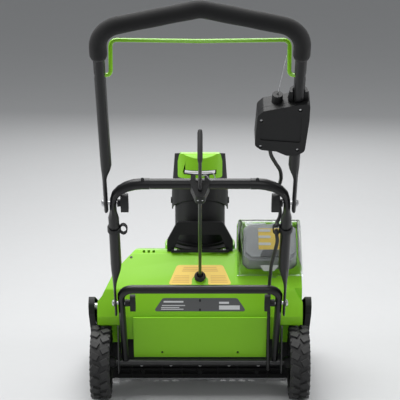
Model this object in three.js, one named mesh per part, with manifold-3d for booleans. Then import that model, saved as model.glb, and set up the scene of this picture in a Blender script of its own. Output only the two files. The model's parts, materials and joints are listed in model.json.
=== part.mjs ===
// A battery-powered single-stage snow thrower with a folding handle, as a tree of separate parts.
// Millimetres, +Z up. Machine axes: +X to the operator's right, +Y forwards, Z = 0 on the ground, Y = 0 at the axle.
import * as THREE from "three";
import { mergeVertices } from "three/addons/utils/BufferGeometryUtils.js";
import Module from "manifold-3d";

const wasm = await Module();
wasm.setup();

// ---------------------------------------------------------------- driving dimensions
const CLEARING_WIDTH = 508; // the 20-inch strip that the auger clears
const WALL = 4; // moulded scoop wall
const SKIN = 3.5; // moulded hood wall
const GAP = 0.4; // air between two parts that touch
const SHOULDER_FALL = 0.3; // the hood's shoulders fall by this much per millimetre forwards

const WHEEL = { radius: 89, width: 48, x: 240, bore: 6.4 };
const AXLE = { radius: 8, stub: 6, z: WHEEL.radius };
const AUGER = { y: 190, z: 97, radius: 84, shaft: 10 };
const SCOOP = { back: 96, front: 322, bottom: 9, roof: 242, bend: 92 };
const MOTOR = { y: 66, z: 210, radius: 38, x: -78, length: 92 };
const BELT = { x: -264.5, width: 7, motorPulley: 12, augerPulley: 40 };
const CHUTE = { y: 180, deck: 340, radius: 62, wall: 3, top: 466 };
const DEFLECTOR = { pivotZ: 450, radius: 70, nose: 292, top: 582 };

// The handle lies in one plane that leans back; its parts are placed by how far up that plane they are.
const HANDLE = { lean: THREE.MathUtils.degToRad(28), foot: [0, -5, 99] };
const LOWER_FRAME = { x: 180, tube: 10.3, top: 245, bend: 27 };
const MID = { x: 191.5, tube: 12.6, pivot: 199, foot: 166, top: 577, bend: 66 };
const CROSS_TUBE = { radius: 11.6, half: 109.3 };
const UPPER = { x: 200.5, splay: 4.5, tube: 12, pivot: 520, foot: 500, gripFoot: 921, peak: 1041 };
const GRIP_RADIUS = 18;
const BAIL = { pivot: 876, wire: 4.4, x: 181.5, reach: 62, forward: 36 };
const SWITCH_BOX = { x: 171, s: 741, width: 112, height: 124 };
const CRANK = { lean: THREE.MathUtils.degToRad(48.12), axis: [0, -292.2, 590.8], wire: 4, elbow: 28, arm: 138 };
const BAY = { lean: THREE.MathUtils.degToRad(42), face: [170, 67, 378] };
const BATTERY = { width: 128, height: 102, depth: 118 };

// ---------------------------------------------------------------- materials
const finish = (color, roughness, metalness = 0, extra = {}) =>
  new THREE.MeshStandardMaterial({ color, roughness, metalness, ...extra });
const GREEN = finish(0x7fc41c, 0.38);
const BLACK_PLASTIC = finish(0x1b1c1d, 0.55);
const BLACK_PAINT = finish(0x1e1f21, 0.4, 0.3);
const STEEL = finish(0x9a9da0, 0.35, 0.9);
const RUBBER = finish(0x202122, 0.85);
const FOAM = finish(0x222324, 0.95);
const BATTERY_GREY = finish(0x6d7173, 0.5);
const SMOKED_CLEAR = finish(0xaab6ae, 0.12, 0, { transparent: true, opacity: 0.35 });
const BELT_RUBBER = finish(0x151515, 0.8);
const COPPER_GREY = finish(0x55585a, 0.5, 0.6);

// ---------------------------------------------------------------- solids
// A closed geometry as a manifold-3d solid, without the slivers that a lathe leaves at its poles.
function solid(geometry) {
  const loose = geometry.index ? geometry.toNonIndexed() : geometry;
  const bare = new THREE.BufferGeometry().setAttribute("position", loose.getAttribute("position"));
  const merged = mergeVertices(bare, 1e-3);
  const corners = merged.index.array;
  const kept = [];
  for (let i = 0; i < corners.length; i += 3) {
    const [a, b, c] = corners.slice(i, i + 3);
    if (a !== b && b !== c && c !== a) kept.push(a, b, c);
  }
  const vertProperties = new Float32Array(merged.attributes.position.array);
  return new wasm.Manifold(new wasm.Mesh({ numProp: 3, vertProperties, triVerts: new Uint32Array(kept) }));
}

const join = (first, ...others) => others.reduce((sum, one) => sum.add(one), first);
const cut = (first, ...others) => others.reduce((rest, one) => rest.subtract(one), first);

// A named mesh of a solid.
function part(name, body, material) {
  const { vertProperties, triVerts } = body.simplify(0.1).getMesh();
  const shared = new THREE.BufferGeometry();
  shared.setAttribute("position", new THREE.BufferAttribute(vertProperties, 3));
  shared.setIndex(new THREE.BufferAttribute(triVerts, 1));
  const geometry = shared.toNonIndexed();
  geometry.computeVertexNormals();
  const mesh = new THREE.Mesh(geometry, material);
  mesh.name = name;
  return mesh;
}

// An outline of corners [a, b, corner radius].
function outline(corners) {
  const shape = new THREE.Shape();
  corners.forEach(([a, b, radius = 0], i) => {
    const corner = new THREE.Vector2(a, b);
    const back = new THREE.Vector2(...corners.at(i - 1).slice(0, 2)).sub(corner).normalize();
    const on = new THREE.Vector2(...corners[(i + 1) % corners.length].slice(0, 2)).sub(corner).normalize();
    const trim = radius / Math.tan(Math.acos(back.dot(on)) / 2);
    const enter = back.multiplyScalar(trim).add(corner);
    const leave = on.multiplyScalar(trim).add(corner);
    if (i === 0) shape.moveTo(enter.x, enter.y);
    else shape.lineTo(enter.x, enter.y);
    if (radius) shape.quadraticCurveTo(a, b, leave.x, leave.y);
  });
  return shape;
}

const mirrored = (half) => [...half, ...half.map(([x, ...rest]) => [-x, ...rest]).reverse()];
const disc = (radius, a = 0, b = 0) => new THREE.Shape().absarc(a, b, radius, 0, 2 * Math.PI);
const asShape = (form) => (Array.isArray(form) ? outline(form) : form);
const extrude = (form, depth, curveSegments) =>
  new THREE.ExtrudeGeometry(asShape(form), { depth, bevelEnabled: false, curveSegments });

// An outline in (Y, Z) stretched from one X to another.
function across(form, from, to, curveSegments = 3) {
  const turn = new THREE.Matrix4().set(0, 0, 1, from, 1, 0, 0, 0, 0, 1, 0, 0, 0, 0, 0, 1);
  return solid(extrude(form, to - from, curveSegments).applyMatrix4(turn));
}

// An outline in (X, Z) stretched from one Y to another; fall lowers it as it goes forwards.
function along(form, from, to, fall = 0, curveSegments = 2) {
  const turn = new THREE.Matrix4().set(1, 0, 0, 0, 0, 0, -1, to, 0, 1, 0, 0, 0, 0, 0, 1);
  const shear = new THREE.Matrix4().makeShear(0, 0, 0, -fall, 0, 0);
  return solid(extrude(form, to - from, curveSegments).applyMatrix4(turn).applyMatrix4(shear));
}

// An outline in (X, Y) stretched from one Z to another.
const upward = (form, from, to, curveSegments = 6) =>
  solid(extrude(form, to - from, curveSegments).translate(0, 0, from));

const block = (x0, x1, y0, y1, z0, z1) =>
  solid(new THREE.BoxGeometry(x1 - x0, y1 - y0, z1 - z0).translate((x0 + x1) / 2, (y0 + y1) / 2, (z0 + z1) / 2));

// A turned body: profile points [radius, height] about the Z axis, or about X or Y with its start at `from`.
function turned(profile, segments = 24, axis = "z", at = [0, 0, 0]) {
  const points = profile.map(([r, h]) => new THREE.Vector2(r, h));
  const closed = profile[0][0] === 0 ? points : [...points, points[0]];
  const geometry = new THREE.LatheGeometry(closed, segments).rotateX(Math.PI / 2);
  if (axis === "x") geometry.rotateY(Math.PI / 2);
  if (axis === "y") geometry.rotateX(-Math.PI / 2);
  return solid(geometry.translate(...at));
}

const bar = (radius, length, axis, at, segments = 12) =>
  turned([[0, -length / 2], [radius, -length / 2], [radius, length / 2], [0, length / 2]], segments, axis, at);

const pipe = (outer, inner, length, axis, at, segments = 16) =>
  turned([[inner, -length / 2], [outer, -length / 2], [outer, length / 2], [inner, length / 2]], segments, axis, at);

// Puts a solid made in a leaning frame where that frame stands.
function leaning(body, lean, at) {
  const c = Math.cos(lean);
  const s = Math.sin(lean);
  const [x, y, z] = at;
  return body.transform([1, 0, 0, 0, 0, c, s, 0, 0, -s, c, 0, x, y, z, 1]);
}

// A centre line through corners [x, y, z, bend radius]; a corner without a radius only adds a ring on a straight run.
class PipeRun extends THREE.Curve {
  constructor(corners, bendSteps = 6) {
    super();
    this.stations = [];
    this.tangents = [];
    const points = corners.map((c) => new THREE.Vector3(...c.slice(0, 3)));
    points.forEach((corner, i) => {
      const before = points[i - 1];
      const after = points[i + 1];
      const arrive = before && corner.clone().sub(before).normalize();
      const depart = after && after.clone().sub(corner).normalize();
      if (!arrive || !depart) {
        this.stations.push(corner);
        this.tangents.push(arrive ?? depart);
        return;
      }
      const sweep = arrive.angleTo(depart);
      const radius = corners[i][3];
      if (!radius) {
        this.stations.push(corner);
        this.tangents.push(arrive);
        return;
      }
      const start = corner.clone().addScaledVector(arrive, -radius * Math.tan(sweep / 2));
      const hub = depart.clone().sub(arrive).normalize().multiplyScalar(radius / Math.cos(sweep / 2)).add(corner);
      const hinge = arrive.clone().cross(depart).normalize();
      for (let k = 0; k <= bendSteps; k++) {
        const turn = (sweep * k) / bendSteps;
        this.stations.push(start.clone().sub(hub).applyAxisAngle(hinge, turn).add(hub));
        this.tangents.push(arrive.clone().applyAxisAngle(hinge, turn));
      }
    });
  }
  get steps() {
    return this.stations.length - 1;
  }
  getPoint(t) {
    return this.stations[Math.round(t * this.steps)];
  }
  getSpacedPoints() {
    return this.stations;
  }
  getTangentAt(u, target = new THREE.Vector3()) {
    return target.copy(this.tangents[Math.round(u * this.steps)]);
  }
}

function polygon(radius, sides) {
  const points = [];
  for (let i = 0; i < sides; i++) {
    const a = (2 * Math.PI * (i + 0.5)) / sides;
    points.push(new THREE.Vector2(radius * Math.cos(a), radius * Math.sin(a)));
  }
  return points;
}

// A tube or wire along a run; with a wall it is hollow and open at both ends.
function tube(run, radius, { wall = 0, sides = 10, steps = run.steps } = {}) {
  const section = new THREE.Shape(polygon(radius, sides));
  if (wall) section.holes.push(new THREE.Path(polygon(radius - wall, sides)));
  return new THREE.ExtrudeGeometry(section, { extrudePath: run, steps });
}

// Presses a tube leg flat below `from`, fully by `to`, with its middle moved to x = keep.
function flatten(geometry, { legX, keep, share, from, to }) {
  const p = geometry.getAttribute("position");
  for (let i = 0; i < p.count; i++) {
    const x = p.getX(i);
    const much = THREE.MathUtils.smoothstep(-p.getZ(i), -from, -to);
    if (Math.sign(x) !== Math.sign(legX)) continue;
    p.setX(i, x + much * (keep + (x - legX) * share - x));
  }
  return geometry;
}

// Squeezes a tube sideways about x = at(z): fully where low < z < high, and fading out over `fade` beyond.
function squeeze(geometry, { at, low, high, fade, share }) {
  const p = geometry.getAttribute("position");
  for (let i = 0; i < p.count; i++) {
    const z = p.getZ(i);
    const far = Math.max(low - z, z - high, 0);
    const much = share * (1 - THREE.MathUtils.smoothstep(far, 0, fade));
    const middle = Math.sign(p.getX(i)) * at(z);
    p.setX(i, p.getX(i) + much * (middle - p.getX(i)));
  }
  return geometry;
}

const both = [["left", -1], ["right", 1]];

// ---------------------------------------------------------------- hood and scoop
// The hood's outline from the front, seen at Y = 0; its shoulders slope down to the fenders.
const hoodFront = (inset) =>
  mirrored([
    [118 - inset, 422 - inset, 0],
    [209 - inset, 320, 12],
    [237 - inset, 258, 8],
    [248 - inset, 244, 6],
    [248 - inset, 60],
  ]);

const hoodSide = [
  [16, 106],
  [-5, 207, 5],
  [15, 270, 8],
  [95, 336, 8],
  [112, 340, 8],
  [122, 340, 8],
  [290, 291, 12],
  [302, 146],
  [96, 208],
  [93, 106],
];
const hoodSideInside = [
  [20, 60],
  [-1, 207],
  [18, 268],
  [97, 332],
  [112, 336],
  [121, 336],
  [287, 288],
  [298, 60],
];

// The scoop's solid, grown or shrunk by `grow` all round.
function scoopBody(grow) {
  const { back, front, bottom, roof, bend } = SCOOP;
  const side = [
    [back - grow, bottom - grow],
    [back - grow, roof + grow, bend],
    [front + grow, roof - 8 + grow, 6],
    [front - 6 + grow, 170],
    [front - 30 + grow, 24, 10],
    [front - 46 + grow, bottom - grow],
  ];
  const half = CLEARING_WIDTH / 2 + WALL + grow;
  const front_ = mirrored([
    [138 + grow, 386 + grow, 0],
    [204 + grow, 312 + grow, 8],
    [232 + grow, 254 + grow, 6],
    [half, 229 + grow, 6],
    [half, -80],
  ]);
  return across(side, -300, 300, 6).intersect(along(front_, 60, 360, SHOULDER_FALL));
}

function scoopInside() {
  const { back, front, roof, bend } = SCOOP;
  const side = [
    [back + WALL, -40],
    [back + WALL, roof - WALL, bend - WALL],
    [front + 60, roof - 8 - WALL],
    [front + 60, -40],
  ];
  const half = CLEARING_WIDTH / 2;
  const front_ = mirrored([
    [138 - WALL, 386 - WALL, 0],
    [204 - WALL, 312 - WALL, 8],
    [232 - WALL, 254 - WALL, 6],
    [half, 229 - WALL, 6],
    [half, -160],
  ]);
  return across(side, -300, 300, 6).intersect(along(front_, 60, 400, SHOULDER_FALL));
}

function augerHousing() {
  const throat = upward(disc(CHUTE.radius + 4, 0, CHUTE.y), SCOOP.roof - 20, CHUTE.deck + 3, 10);
  const throatBore = upward(disc(CHUTE.radius - 2, 0, CHUTE.y), SCOOP.roof - 60, CHUTE.deck + 20, 10);
  const ribs = [];
  for (const z of [22, 36]) ribs.push(block(-204, 204, SCOOP.back - 7, SCOOP.back + 1, z - 1.5, z + 1.5));
  for (const x of [-170, -94, -45, 45, 94, 170]) {
    ribs.push(block(x - 1.5, x + 1.5, SCOOP.back - 7, SCOOP.back + 1, 12, 60));
  }
  for (const x of [-142, 0, 142]) ribs.push(bar(6, 9, "y", [x, SCOOP.back - 3.5, 29], 8));
  const bearingSeats = both.map(([, side]) =>
    bar(24, WALL + 2, "x", [side * (CLEARING_WIDTH / 2 + WALL / 2), AUGER.y, AUGER.z], 16),
  );
  const bearingHoles = bar(17.6, 600, "x", [0, AUGER.y, AUGER.z], 16);
  const shell = join(cut(scoopBody(0), scoopInside()), throat, ...ribs, ...bearingSeats);
  return cut(shell, throatBore, bearingHoles);
}

function scraperBar() {
  const half = 203;
  const teeth = [];
  for (let x = -half + 11; x < half - 12; x += 24) teeth.push([x, 0], [x + 6, 4], [x + 14, 4], [x + 20, 0]);
  const blade = along([[-half, 26], [-half, 0], ...teeth, [half, 0], [half, 26]], SCOOP.back + WALL + GAP, SCOOP.back + WALL + 3.4);
  const holes = [-142, 0, 142].map((x) => bar(3, 20, "y", [x, SCOOP.back + WALL + 2, 20], 12));
  return cut(blade, ...holes);
}

// ---------------------------------------------------------------- battery bay
const inBay = (body) => leaning(body, BAY.lean, BAY.face);
const LID = { half: 76.5, low: -70, high: 66, foot: -44, face: 10 };
const LID_HINGE = { u: 72, n: -36, radius: 3 };

function bayTowerSide(inset) {
  const edge = (u, n) => {
    const c = Math.cos(BAY.lean);
    const s = Math.sin(BAY.lean);
    return [BAY.face[1] + u * c - n * s, BAY.face[2] + u * s + n * c];
  };
  const high = LID.high + 12 - inset;
  const side = [
    [18 + inset, inset ? 200 : 246],
    [20 + inset, 272],
    [...edge(LID.low - 1 + inset, LID.foot - 1 - inset), 4],
    [...edge(high, LID.foot - 1 - inset), 4],
    [...edge(high, inset ? -200 : -128), 4],
    [186 - inset, inset ? 200 : 252],
    [120, inset ? 200 : 246],
  ];
  return side;
}

function bayTower() {
  const x = BAY.face[0];
  const hollow = cut(across(bayTowerSide(SKIN), x - 74.5, x + 73.5, 3), bayPocket(SKIN));
  return cut(across(bayTowerSide(0), x - 78, x + 77, 3), hollow);
}

function bayPocket(grow) {
  const x = BATTERY.width / 2 + 2 + grow;
  const y = BATTERY.height / 2 + 2 + grow;
  const mouth = mirrored([[x - 12, y], [x, y - 12], [x, 12 - y], [x - 12, -y]]);
  return inBay(upward(mouth, -124 - grow, 60));
}

function batteryPack() {
  const x = BATTERY.width / 2;
  const y = BATTERY.height / 2;
  const body = upward(mirrored([[x - 13, y], [x, y - 13], [x, 13 - y], [x - 13, -y]]), -BATTERY.depth, -7);
  const face = upward(mirrored([[x - 18, y - 5], [x - 5, y - 18], [x - 5, 18 - y], [x - 18, 5 - y]]), -8, 0);
  const latchWell = upward([[-26, -y - 1], [-18, -y + 18], [22, -y + 18], [30, -y - 1]], -3, 1);
  const terminalSlots = [-30, 0, 30].map((at) => block(at - 4, at + 4, -12, 12, -BATTERY.depth - 1, -BATTERY.depth + 14));
  return inBay(cut(join(body, face), latchWell, ...terminalSlots));
}

function terminalBlock() {
  const base = block(-44, 44, -18, 18, -124 + GAP, -BATTERY.depth - GAP);
  const blades = [-30, 0, 30].map((at) => block(at - 2, at + 2, -9, 9, -BATTERY.depth - 1, -BATTERY.depth + 11));
  return inBay(join(base, ...blades));
}

function lidShell(inset) {
  const side = [
    [LID.low + inset, LID.foot - (inset ? 30 : 0)],
    [LID.low + inset, LID.foot + 14 - inset],
    [LID.low + 15 + inset, LID.face - inset, inset ? 6 : 9],
    [LID.high - 12 - inset, LID.face - inset, inset ? 6 : 9],
    [LID.high - inset, LID.face - 20 - inset],
    [LID.high - inset, LID.foot - (inset ? 30 : 0)],
  ];
  const front = mirrored([
    [LID.half - 16 - inset, LID.face + (inset ? 30 : 20)],
    [LID.half - inset, LID.face - 28],
    [LID.half - inset, -120],
  ]);
  return across(side, -120, 120, 4).intersect(along(front, -120, 120, 0));
}

function batteryLid() {
  const rim = cut(
    block(-LID.half - 3, LID.half + 3, LID.low - 3, LID.high + 1, LID.foot, LID.foot + 4),
    block(-LID.half + 2.5, LID.half - 2.5, LID.low + 2.5, LID.high - 2.5, LID.foot - 5, LID.foot + 9),
  );
  const tab = upward([[-12, LID.low + 2], [-4, LID.low - 9], [14, LID.low - 9], [22, LID.low + 2]], LID.foot, LID.foot + 5);
  const knuckles = both.map(([, side]) =>
    join(
      bar(LID_HINGE.radius + 3, 16, "x", [side * 48, LID_HINGE.u, LID_HINGE.n]),
      block(side * 48 - 8, side * 48 + 8, LID.high - 2, LID_HINGE.u, LID_HINGE.n - 4, LID_HINGE.n + 4),
    ),
  );
  const pin = bar(LID_HINGE.radius, 146, "x", [0, LID_HINGE.u, LID_HINGE.n], 12);
  return inBay(join(cut(lidShell(0), lidShell(3)), rim, tab, ...knuckles, pin));
}

function lidHingeKnuckles() {
  const knuckles = [-66, 0, 66].map((x) =>
    join(
      bar(LID_HINGE.radius + 3, 14, "x", [x, LID_HINGE.u, LID_HINGE.n]),
      block(x - 7, x + 7, LID_HINGE.u - 3, LID_HINGE.u + 5, LID.foot - 8, LID_HINGE.n),
    ),
  );
  return inBay(knuckles.reduce((all, one) => all.add(one)));
}

function mainHousing() {
  const outer = across(hoodSide, -260, 260).intersect(along(hoodFront(0), -20, 310, SHOULDER_FALL));
  const inner = across(hoodSideInside, -260, 260).intersect(along(hoodFront(SKIN + 1), -20, 310, SHOULDER_FALL));
  const arches = both.map(([, side]) => {
    const [from, to] = side < 0 ? [-300, -192] : [192, 300];
    return block(from, to, -40, 93, 60, 185);
  });
  const archSkins = both.map(([, side]) => {
    const [from, to] = side < 0 ? [-300, -188.5] : [188.5, 300];
    return block(from, to, -40, 96, 60, 188.5);
  });
  const shell = cut(cut(outer, ...arches), cut(inner, ...archSkins));
  const recess = inBay(block(-84, 71, LID.low - 20, 20, -58, 60));
  const ledge = cut(join(cut(shell, recess), bayTower(), lidHingeKnuckles()), bayPocket(0));
  const deckLand = upward(disc(CHUTE.radius + 26, 0, CHUTE.y), CHUTE.deck - 60, CHUTE.deck, 12);
  const throatHole = upward(disc(CHUTE.radius + 5.4, 0, CHUTE.y), 100, 420, 12);
  const coverHole = block(-157, 157, -60, 24, 90, 201);
  const shaftHole = bar(12, 120, "x", [-240, MOTOR.y, MOTOR.z]);
  const pinHole = inBay(bar(LID_HINGE.radius + 0.4, 200, "x", [0, LID_HINGE.u, LID_HINGE.n]));
  const vents = [-138, -126, -114].map((x) => block(x - 3, x + 3, 100, 112, 320, 360));
  const ringSeat = upward(disc(CHUTE.radius + 18, 0, CHUTE.y), CHUTE.deck, CHUTE.deck + 40, 12);
  const bootHole = inCrank(bar(10.6, 50, "z", [0, 0, BOOT_FLANGE], 12));
  const landSkin = cut(deckLand, scoopBody(0.8));
  const openings = [throatHole, coverHole, shaftHole, pinHole, scoopBody(0.8), ringSeat, bootHole, ...vents];
  return cut(join(ledge, landSkin), ...openings);
}

function rearCover() {
  const half = 161;
  const plate = across([[8, 103], [-13.6, 207.8], [-10.2, 208.5], [11.5, 103.8]], -half, half);
  const lip = across([[8.4, 105], [8, 99], [22, 99], [22, 102], [11.2, 105]], -half, half);
  const stiffeners = [-96, 0, 96].map((x) =>
    across([[9, 110], [-9, 196], [-1, 196], [17, 110]], x - 1.5, x + 1.5),
  );
  const screwHoles = [-92, 92].map((x) => bar(3, 40, "y", [x, 8, 112], 12));
  return cut(join(plate, lip, ...stiffeners), ...screwHoles);
}

// Side covers stand outside the scoop's end walls; the left one houses the belt.
const sideCoverOutline = (inset) => [
  [44 + inset, 220, 10],
  [62, 236 - inset, 12],
  [104, 220 - inset, 10],
  [205, 176 - inset, 20],
  [288 - inset, 146 - inset, 18],
  [298 - inset, 70, 30],
  [268 - inset, 16 + inset, 16],
  [128, 16 + inset, 20],
  [106 + inset, 50, 10],
  [106 + inset, 132, 20],
  [50 + inset, 196, 12],
];

function sideCover(side) {
  const inner = CLEARING_WIDTH / 2 + WALL + GAP;
  const outer = 273;
  const [from, to] = side < 0 ? [-outer, -inner] : [inner, outer];
  const [hollowFrom, hollowTo] = side < 0 ? [-outer + 2.5, -inner + 5] : [inner - 5, outer - 2.5];
  return cut(across(sideCoverOutline(0), from, to, 3), across(sideCoverOutline(2.5), hollowFrom, hollowTo, 2));
}

// ---------------------------------------------------------------- drive
function motorBody() {
  const { x, y, z, radius, length } = MOTOR;
  const can = bar(radius, length - 12, "x", [x, y, z], 20);
  const cap = turned([[0, -6], [radius - 6, -6], [radius + 1, 0], [radius + 1, 6], [0, 6]], 20, "x", [x - length / 2, y, z]);
  const fins = [];
  for (let i = 0; i < 6; i++) {
    const a = (i * Math.PI) / 3;
    const fin = block(-length / 2 + 12, length / 2 - 10, -1.5, 1.5, radius - 1, radius + 2.4);
    fins.push(leaning(fin, a, [x, y, z]));
  }
  const shaftHole = bar(8.5, 300, "x", [x - 100, y, z]);
  return cut(join(can, cap, ...fins), shaftHole);
}

function motorPulley() {
  const { x, width, motorPulley: radius } = BELT;
  const tail = MOTOR.x + 20;
  const head = x - width / 2 - 1.5;
  const shaft = bar(8, tail - head, "x", [(tail + head) / 2, MOTOR.y, MOTOR.z]);
  const inner = 1.6 + width / 2;
  const wheel = turned(
    [[0, -inner], [radius + 2, -inner], [radius - 1, -inner + 1.6], [radius - 1, inner - 1.6], [radius + 2, inner], [0, inner]],
    16,
    "x",
    [x, MOTOR.y, MOTOR.z],
  );
  return join(shaft, wheel);
}

function augerPulley() {
  const { x, width, augerPulley: radius } = BELT;
  const inner = 1.6 + width / 2;
  const wheel = turned(
    [
      [AUGER.shaft - 2 + GAP, -inner],
      [radius + 2, -inner],
      [radius - 1, -inner + 1.6],
      [radius - 1, inner - 1.6],
      [radius + 2, inner],
      [AUGER.shaft - 2 + GAP, inner],
    ],
    24,
    "x",
    [x, AUGER.y, AUGER.z],
  );
  return wheel;
}

// A flat belt around both pulleys: two arcs and the straight strands that touch them.
function beltLoop(extra) {
  const small = BELT.motorPulley + 0.2 + extra;
  const large = BELT.augerPulley + 0.2 + extra;
  const dy = AUGER.y - MOTOR.y;
  const dz = AUGER.z - MOTOR.z;
  const span = Math.hypot(dy, dz);
  const heading = Math.atan2(dz, dy);
  const lean = Math.acos((small - large) / span);
  const shape = new THREE.Shape();
  shape.absarc(MOTOR.y, MOTOR.z, small, heading + lean, heading - lean + 2 * Math.PI);
  shape.absarc(AUGER.y, AUGER.z, large, heading - lean, heading + lean);
  return shape;
}

function driveBelt() {
  const half = BELT.width / 2 - 0.4;
  return cut(
    across(beltLoop(2.4), BELT.x - half, BELT.x + half, 6),
    across(beltLoop(0), BELT.x - half - 1, BELT.x + half + 1, 6),
  );
}

function augerShaft() {
  const end = CLEARING_WIDTH / 2;
  const r = AUGER.shaft;
  const profile = [[0, -end - 15], [r - 2, -end - 15], [r - 2, -end + 3], [r, -end + 3], [r, end - 3], [r - 2, end - 3], [r - 2, end + 9], [0, end + 9]];
  return turned(profile, 16, "x", [0, AUGER.y, AUGER.z]);
}

// One helical paddle: a ribbon that winds once round its hub tube from the end of the rotor to the middle paddle.
function augerFlight(side) {
  const steps = 16;
  const hub = AUGER.shaft + GAP;
  const sleeve = hub + 5;
  const from = 46;
  const to = CLEARING_WIDTH / 2 - 8;
  const thick = 5;
  const turns = 0.9;
  const positions = [];
  const index = [];
  for (let i = 0; i <= steps; i++) {
    const share = i / steps;
    const a = side * share * turns * 2 * Math.PI + Math.PI / 2;
    const x = from + share * (to - from - thick);
    for (const [radius, shift] of [[hub + 2, 0], [AUGER.radius + 2, 0], [AUGER.radius + 2, thick], [hub + 2, thick]]) {
      positions.push(side * (x + shift), radius * Math.cos(a), radius * Math.sin(a));
    }
  }
  const face = (a, b, c, d) => index.push(a, b, c, a, c, d);
  for (let i = 0; i < steps; i++) {
    for (let k = 0; k < 4; k++) {
      const next = (k + 1) % 4;
      face(4 * i + k, 4 * (i + 1) + k, 4 * (i + 1) + next, 4 * i + next);
    }
  }
  face(0, 1, 2, 3);
  face(4 * steps + 3, 4 * steps + 2, 4 * steps + 1, 4 * steps);
  const ribbon = new THREE.BufferGeometry();
  ribbon.setAttribute("position", new THREE.Float32BufferAttribute(positions, 3));
  ribbon.setIndex(index);
  let blade = solid(ribbon);
  if (blade.volume() < 0) {
    ribbon.setIndex(index.toReversed());
    blade = solid(ribbon);
  }
  const rim = AUGER.radius;
  const envelope = turned([[0, -247], [rim - 14, -247], [rim, -228], [rim, 228], [rim - 14, 247], [0, 247]], 20, "x");
  const tubeBody = pipe(sleeve, hub, to - from, "x", [(side * (from + to)) / 2, 0, 0], 12);
  return join(blade.intersect(envelope), tubeBody).translate([0, AUGER.y, AUGER.z]);
}

// The middle paddle throws the snow up the chute: two scooped blades on a sleeve.
function centrePaddle() {
  const hub = AUGER.shaft + GAP;
  const half = 44;
  const sleeve = pipe(hub + 6, hub, 2 * half, "x", [0, AUGER.y, AUGER.z], 12);
  const blade = [[-3, hub + 2], [-4, 56, 30], [9, AUGER.radius - 2], [14, AUGER.radius - 3], [4, 54, 30], [3, hub + 2]];
  const blades = [0, Math.PI].map((a) => leaning(across(blade, -half, half), a, [0, AUGER.y, AUGER.z]));
  return join(sleeve, ...blades);
}

function augerBearing(side) {
  const x = side * (CLEARING_WIDTH / 2 + WALL / 2 - 0.5);
  return pipe(17, AUGER.shaft - 2 + 0.3, 6, "x", [x, AUGER.y, AUGER.z], 16);
}

function controller() {
  const body = block(20, 100, 26, 52, 118, 186);
  const fins = [30, 40, 50, 60, 70, 80, 90].map((x) => block(x - 1.5, x + 1.5, 51, 60, 122, 182));
  return join(body, ...fins);
}

// ---------------------------------------------------------------- wheels and axle
function tyre(side) {
  const { radius, width, x } = WHEEL;
  const half = width / 2;
  const rim = 62;
  const ground = radius - 4.5;
  const carcass = turned(
    [[rim, -half + 3], [rim + 5, -half], [ground - 4, -half], [ground, -half + 4], [ground, half - 4], [ground - 4, half], [rim + 5, half], [rim, half - 3]],
    18,
    "x",
  );
  // Two staggered rows of slanted lugs, which stand on edge at the shoulders.
  const lugCount = 9;
  const lugs = [];
  for (const row of [-1, 1]) {
    for (let i = 0; i < lugCount; i++) {
      const a = ((i + (row > 0 ? 0.5 : 0)) * 2 * Math.PI) / lugCount;
      const foot = [[row * 2, -15], [row * 2, 8], [row * (half - 0.5), 16], [row * (half - 0.5), -7]];
      lugs.push(leaning(upward(foot, radius - 14, radius - 0.2), a, [0, 0, 0]));
    }
  }
  return join(carcass, ...lugs).translate([side * x, 0, AXLE.z]);
}

function wheelHub(side) {
  const { x, width, bore } = WHEEL;
  const half = width / 2;
  const rim = 62 - 1.6;
  const profile = [
    [bore, -half - 11],
    [12, -half - 11],
    [15, -half + 2],
    [rim - 6, -5],
    [rim - 4, -half + 3],
    [rim, -half + 3],
    [rim, half - 3],
    [rim - 4, half - 3],
    [rim - 6, 4],
    [15, half - 2],
    [bore, half - 2],
  ];
  const windows = [];
  for (let i = 0; i < 5; i++) {
    const hole = across([[-11, 50], [-6, 24], [6, 24], [11, 50]], -20, 20);
    windows.push(leaning(hole, (i * 2 * Math.PI) / 5, [0, 0, 0]));
  }
  const made = cut(turned(profile, 15, "x"), ...windows);
  const faced = side > 0 ? made : made.mirror([1, 0, 0]);
  return faced.translate([side * x, 0, AXLE.z]);
}

function axle() {
  const { radius, stub } = AXLE;
  const shoulder = 203;
  const end = 262;
  const profile = [[0, -end], [stub, -end], [stub, -shoulder], [radius, -shoulder], [radius, shoulder], [stub, shoulder], [stub, end], [0, end]];
  return turned(profile, 16, "x", [0, 0, AXLE.z]);
}

function axlePlate(side) {
  const [from, to] = side < 0 ? [-198.5, -195.5] : [195.5, 198.5];
  const plate = across([[-24, 66, 10], [-30, 150, 6], [-34, 196, 8], [22, 176, 8], [30, 66, 10]], from, to, 4);
  return cut(plate, bar(AXLE.radius + 0.3, 900, "x", [0, 0, AXLE.z]));
}

// ---------------------------------------------------------------- handle
const inHandle = (body) => leaning(body, HANDLE.lean, HANDLE.foot);

function lowerFrame() {
  const { x, tube: radius, top, bend } = LOWER_FRAME;
  const legAt = (s) => x + 1 + (3.4 * s) / top;
  const leg = (s) => [legAt(s), 0, s];
  const halfRun = [[legAt(top), 0, top, bend], leg(206), leg(190), leg(2)];
  const otherRun = halfRun.map(([a, ...rest]) => [-a, ...rest]).reverse();
  const run = new PipeRun([...otherRun, ...halfRun], 5);
  const bent = squeeze(tube(run, radius), { at: legAt, low: 0, high: 212, fade: 24, share: 0.2 });
  const bolts = bar(4.4, 800, "x", [0, 0, MID.pivot], 12);
  return inHandle(cut(solid(bent), bolts));
}

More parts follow.
